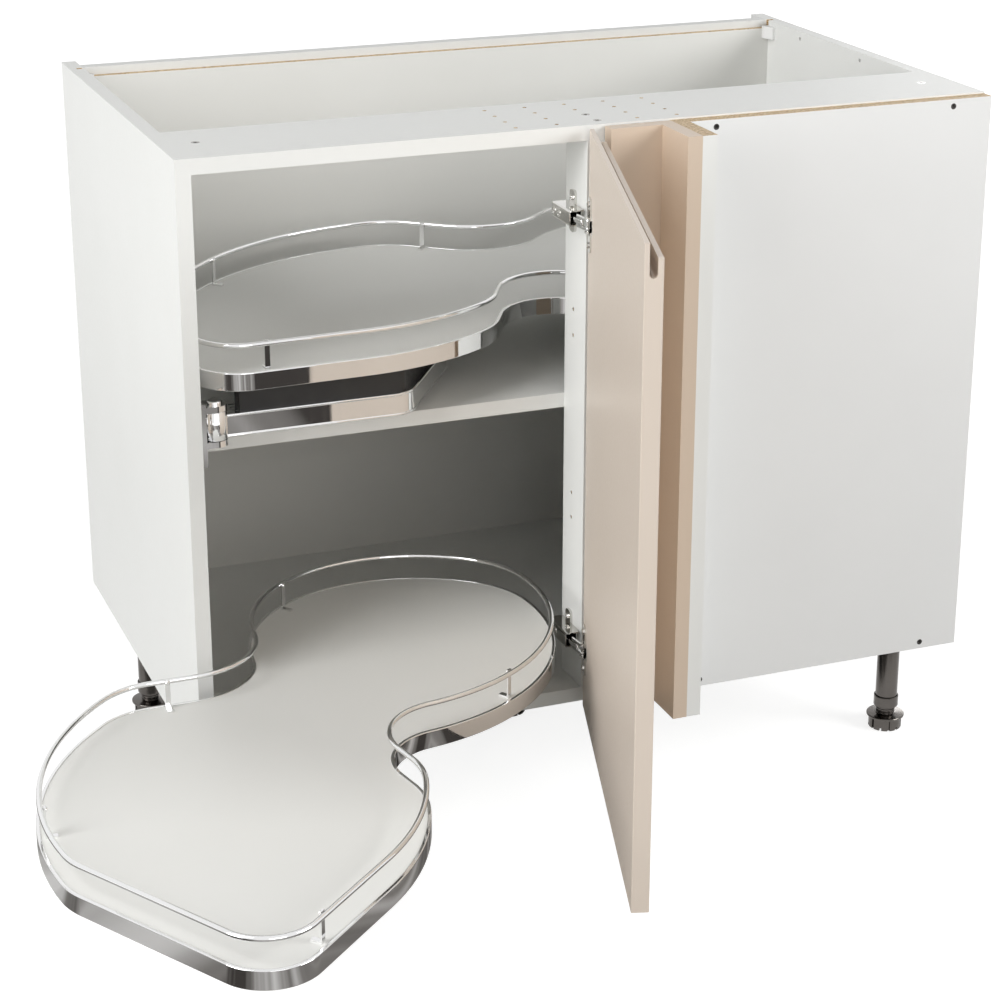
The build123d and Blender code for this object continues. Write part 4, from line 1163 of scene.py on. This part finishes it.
    def build(self) -> None:
        """Make the hinges' visible pieces and dress the leaf and the rest."""
        self.shelf.dress(bpy.data.objects["door"], satin("door_lacquer", CASHMERE))
        adjusting = [(y, z) for z in self.heights for y in self.adjusters]
        rise = self.plate_screw_pitch / 2
        holding = [(self.plate_screw_y, z + side * rise) for z in self.heights for side in (-1, 1)]
        self.arms()
        self.screws("hinge_cross_adjusters", "hinge_adjusting_screws", self.adjuster, self.face, adjusting)
        self.screws("hinge_cross_plate_screws", "hinge_plate_screws", self.pan_screw, self.plate, holding)
        self.links("hinge_inner_links", "hinge_arm_links", self.arm_pin, self.cup_pin, self.inner_layers)
        self.links("hinge_outer_links", "hinge_cup_links", self.cup_pin, self.arm_pin, self.outer_layers)
        for node in ("hinge_cups", "hinge_cup_screws", "hinge_mounting_plates"):
            self.shelf.dress(bpy.data.objects[node], NICKEL)


@dataclass
class LegSet:
    """Five adjustable legs: socket, collared tube and turning foot."""

    shelf: FinishShelf
    places: tuple[tuple[str, float, float], ...] = (
        ("front_left", 45.0, 70.0), ("front_right", 955.0, 70.0), ("back_left", 45.0, 468.0),
        ("back_right", 955.0, 468.0), ("centre", 500.0, 293.5))
    tube: float = 14.5
    tube_bore: float = 12.85
    collar: float = 16.3
    tube_bottom: float = 31.0
    tube_top: float = 145.0
    under: float = 150.0
    base: float = 21.8
    base_height: float = 16.0
    stem_top: float = 57.0
    pitch: float = 4.0
    notches: int = 6
    notch_depth: float = 2.5
    notch_rise: float = 3.6

    def tube_profile(self) -> np.ndarray:
        """Line of the tube: collar with eased lips, then the plain tube.

        Returns:
            Rows of radius and height, closed.
        """
        low, r, wide = self.tube_bottom, self.tube, self.collar
        return np.array([
            (self.tube_bore, low), (wide - 0.9, low), (wide - 0.2, low + 0.3), (wide, low + 1.0),
            (wide - 0.1, low + 7.0), (wide, low + 13.6), (wide - 0.2, low + 14.6), (wide - 0.8, low + 15.0),
            (r + 0.5, low + 14.7), (r, low + 14.0), (r, low + 15.6), (r, 100.0), (r, self.tube_top),
            (self.tube_bore, self.tube_top)])

    def socket_profile(self) -> np.ndarray:
        """Line of the socket under the base.

        Returns:
            Rows of radius and height, closed.
        """
        top = self.under
        return np.array([
            (14.6, top - 14.0), (18.4, top - 14.0), (19.0, top - 13.3), (19.0, top - 6.4), (19.8, top - 5.2),
            (21.0, top - 5.0), (29.0, top - 5.0), (30.0, top - 4.2), (30.0, top), (14.6, top)])

    def foot_surface(self) -> np.ndarray:
        """Stem, flange and base as one surface of turning whose radius and height change with the angle.

        The thread's radius goes from 11.7 to 12.5 and back once a pitch. With t' the angle within one
        sixth of a turn, the base's wall stands notch_depth back where |t' - 15| < 4 degrees, and its
        lower edge is raised by notch_rise where |t' - 45| < 4 degrees.

        Returns:
            Grid of points about the leg's axis, in millimetres.
        """
        step = 360.0 / self.notches
        fine = np.array([0, 4, 8, 10.9, 11.1, 12.5, 15, 17.5, 18.9, 19.1, 22, 26,
                         30, 34, 38, 40.9, 41.1, 42.5, 45, 47.5, 48.9, 49.1, 52, 56])
        t = np.concatenate([fine + step * index for index in range(self.notches)])
        within = np.mod(t, step)
        tall = np.abs(within - 15.0) < 4.0
        short = np.abs(within - 45.0) < 4.0
        seat = self.base_height + 3.0
        turns = np.arange(seat + 1.4, self.stem_top - self.pitch, self.pitch)[::-1]
        ridge = np.array([(11.7, 3.2), (12.5, 2.6), (12.5, 1.4), (11.7, 0.8)])
        thread = np.concatenate([ridge + np.array([0.0, z]) for z in turns])
        dish = np.array([(11.7, 0.9), (12.6, 0.5), (15.0, 0.1), (23.6, 0.0), (24.6, -0.2), (25.0, -0.8),
                         (25.0, -2.3), (24.6, -2.9), (22.6, -3.0)]) + np.array([0.0, seat])
        top = np.vstack([[(11.0, self.stem_top)], thread, dish])
        upper = np.repeat(top[:, None], len(t), 1)
        outer = np.where(tall, self.base - self.notch_depth, self.base)
        lower = np.where(short, self.notch_rise, 0.0)
        rows = [(outer, np.full(len(t), self.base_height - 0.1)), (outer, lower + 0.5), (outer - 0.4, lower),
                (np.full(len(t), 18.4), lower), (np.full(len(t), 18.0), np.full(len(t), 12.0)),
                (np.full(len(t), 2.0), np.full(len(t), 12.0))]
        under = np.stack([np.stack([r, z], -1) for r, z in rows])
        both = np.concatenate([upper, under])
        angle = np.radians(t)
        return np.stack([both[..., 0] * np.cos(angle), both[..., 0] * np.sin(angle), both[..., 1]], -1)

    def build(self) -> None:
        """Make sockets, tubes and feet."""
        finish = self.shelf.take(GUNMETAL)
        sockets, tubes = Shell(), Shell()
        for place, x, y in self.places:
            sockets.add(placed(lathe(supported(self.socket_profile()), 56), x, y, 0))
            tubes.add(placed(lathe(supported(self.tube_profile()), 56), x, y, 0))
            foot = Shell().add(placed(self.foot_surface(), x, y, 0), wrap_u=False, caps=True)
            foot.stand_in(f"notched_foot_{place}", finish, 30.0,
                          f"foot_{place}", "black_plastic", f"foot_{place}")
        sockets.stand_in("socket_flanges", finish, 40.0, "leg_sockets", "black_plastic", "cabinet")
        tubes.stand_in("collared_tubes", finish, 40.0, "leg_tubes", "black_plastic", "cabinet")


# Studio


@dataclass(frozen=True)
class Lamp:
    """Soft square lamp: its name, its middle in metres and its power in watts."""

    name: str
    place: Triple
    power: float


@dataclass
class Studio:
    """Floor, light and camera."""

    lens: float = 87.84
    place: Triple = (-1.098, -2.7985, 1.465)
    yaw: float = 21.19
    pitch: float = 19.90
    rise: float = -0.05
    reach: float = 14.0
    floor_seen: Triple = (0.42, 0.42, 0.415)
    floor_bounce: Triple = (0.34, 0.34, 0.33)
    glow: tuple[float, float] = (0.80, 1.0)
    glow_span: tuple[float, float] = (1.3, 4.5)
    cards: tuple[tuple[tuple[float, float], tuple[float, float]], ...] = (
        ((-2.6, 2.6), (-2.8, -0.5)), ((-2.6, -0.9), (-0.5, 1.4)), ((-0.9, 0.3), (-0.5, 0.1)))
    world_levels: tuple[float, float] = (0.22, 1.0)
    lamps: tuple[Lamp, ...] = (
        Lamp("left_lamp", (-4.6, -1.6, 1.6), 118.0), Lamp("high_left_lamp", (-3.6, -1.4, 3.6), 88.0),
        Lamp("right_lamp", (3.6, -3.4, 2.6), 174.0), Lamp("front_lamp", (-0.4, -5.0, 1.4), 36.0),
        Lamp("back_lamp", (4.0, 3.8, 1.1), 66.0))
    lamp_size: float = 2.4
    aim: Triple = (0.0, 0.0, 0.4)

    @staticmethod
    def laid(name: str, cards: tuple[tuple[tuple[float, float], tuple[float, float]], ...], level: float,
             columns: int, material: bpy.types.Material) -> bpy.types.Object:
        """Level cards that look up: P(u, v) = (x0 + u (x1 - x0), y0 + v (y1 - y0), level).

        Args:
            name: Name of the object.
            cards: Spans along X and Y of each card, in metres.
            level: Height of the cards.
            columns: Points along Y.
            material: Their only material.

        Returns:
            The new object.
        """
        shell = Shell()
        for across, deep in cards:
            x, y = np.meshgrid(np.linspace(*across, 9), np.linspace(*deep, columns), indexing="ij")
            shell.add(np.stack([x, y, 0 * x + level], -1), wrap_u=False, wrap_v=False)
        made = shell.build(name, material)
        if made.data.polygons[0].normal.z < 0:
            made.data.flip_normals()
        return made

    def floor(self) -> None:
        """Pale floor that looks white where nothing shades it, and throws little light upwards."""
        sheet = NodeSheet("pale_floor")
        rays = sheet.node("LightPath", {})
        seen = sheet.math("MAXIMUM", rays.outputs["Is Camera Ray"], sheet.math(
            "MAXIMUM", rays.outputs["Is Glossy Ray"], rays.outputs["Is Transmission Ray"]))
        matt = sheet.node("BsdfDiffuse", {"Color": sheet.blend(seen, self.floor_bounce, self.floor_seen)})
        away = sheet.node("VectorMath", {0: sheet.coords.outputs["Object"]}, operation="LENGTH")
        level = sheet.spread(away.outputs["Value"], self.glow_span, *self.glow, "SMOOTHSTEP")
        strength = sheet.math("MULTIPLY", seen, level)
        glow = sheet.node("Emission", {"Color": (1.0, 1.0, 1.0, 1.0), "Strength": strength})
        both = sheet.node("AddShader", {0: matt.outputs[0], 1: glow.outputs[0]})
        span = (-self.reach, self.reach)
        self.laid("studio_floor", ((span, span),), -0.0005, 9, sheet.finish_with(both))

    def flag(self) -> None:
        """Dark mottled cards on the floor, seen by mirrors alone, that give bright metal its contrast."""
        sheet = NodeSheet("flag_cloth")
        heading = sheet.node("VectorMath", {0: sheet.coords.outputs["Object"]}, operation="NORMALIZE")
        streaks = sheet.node("TexNoise", {"Vector": heading.outputs[0], "Scale": 5.0, "Detail": 3.0})
        tint = sheet.ramp(streaks.outputs[0], [
            (0.40, (0.05, 0.045, 0.042)), (0.50, (0.22, 0.21, 0.20)), (0.66, (0.72, 0.71, 0.70))])
        matt = sheet.node("BsdfDiffuse", {"Color": tint})
        made = self.laid("studio_flag", self.cards, 0.0015, 5, sheet.finish_with(matt))
        made.visible_camera = made.visible_diffuse = made.visible_shadow = False

    def world(self) -> None:
        """White surroundings for the camera and mirrors, and a softer even light on everything else."""
        world = bpy.data.worlds.new("studio_world")
        world.use_nodes = True
        tree = world.node_tree
        tree.nodes.clear()
        rays = tree.nodes.new("ShaderNodeLightPath")
        seen = rays.outputs["Is Camera Ray"]
        for kind in ("Is Glossy Ray", "Is Transmission Ray"):
            either = tree.nodes.new("ShaderNodeMath")
            either.operation = "MAXIMUM"
            tree.links.new(seen, either.inputs[0])
            tree.links.new(rays.outputs[kind], either.inputs[1])
            seen = either.outputs[0]
        strength = tree.nodes.new("ShaderNodeMapRange")
        strength.inputs["To Min"].default_value, strength.inputs["To Max"].default_value = self.world_levels
        tree.links.new(seen, strength.inputs[0])
        back = tree.nodes.new("ShaderNodeBackground")
        back.inputs[0].default_value = (1.0, 1.0, 1.0, 1.0)
        tree.links.new(strength.outputs[0], back.inputs[1])
        out = tree.nodes.new("ShaderNodeOutputWorld")
        tree.links.new(back.outputs[0], out.inputs[0])
        bpy.context.scene.world = world

    def light(self, lamp: Lamp) -> None:
        """Hang one lamp, looking at the object's middle.

        Args:
            lamp: The lamp.
        """
        data = bpy.data.lights.new(lamp.name, "AREA")
        data.shape = "SQUARE"
        data.size = self.lamp_size
        data.energy = lamp.power
        made = bpy.data.objects.new(lamp.name, data)
        made.location = lamp.place
        made.rotation_euler = (Vector(self.aim) - Vector(lamp.place)).to_track_quat("-Z", "Y").to_euler()
        bpy.context.scene.collection.objects.link(made)

    def camera(self) -> None:
        """Camera at the photograph's angle."""
        data = bpy.data.cameras.new("studio_camera")
        data.lens = self.lens
        data.sensor_width = 36.0
        data.shift_y = self.rise
        data.clip_end = 60.0
        made = bpy.data.objects.new("studio_camera", data)
        made.location = self.place
        made.rotation_euler = (math.radians(90.0 - self.pitch), 0.0, -math.radians(self.yaw))
        bpy.context.scene.collection.objects.link(made)
        bpy.context.scene.camera = made

    def build(self) -> None:
        """Set up the whole studio."""
        self.floor()
        self.flag()
        self.world()
        for lamp in self.lamps:
            self.light(lamp)
        self.camera()
        view = bpy.context.scene.view_settings
        view.view_transform = "Standard"
        LOG.info("studio set")


def main() -> None:
    """Load the frame, dress it and set up the studio."""
    logging.basicConfig(level=logging.INFO, format="%(message)s")
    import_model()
    shelf = FinishShelf()
    Carcass(shelf).build()
    FixedFront(shelf).build()
    DoorSet(shelf).build()
    LegSet(shelf).build()
    Tray("lower", 168.0, (63.51, -314.64), 41.4, -111.2, shelf).build()
    Tray("upper", 531.0, (350.95, 173.82), 1.7, 0.0, shelf).build()
    Studio().build()


if __name__ == "__main__":
    main()
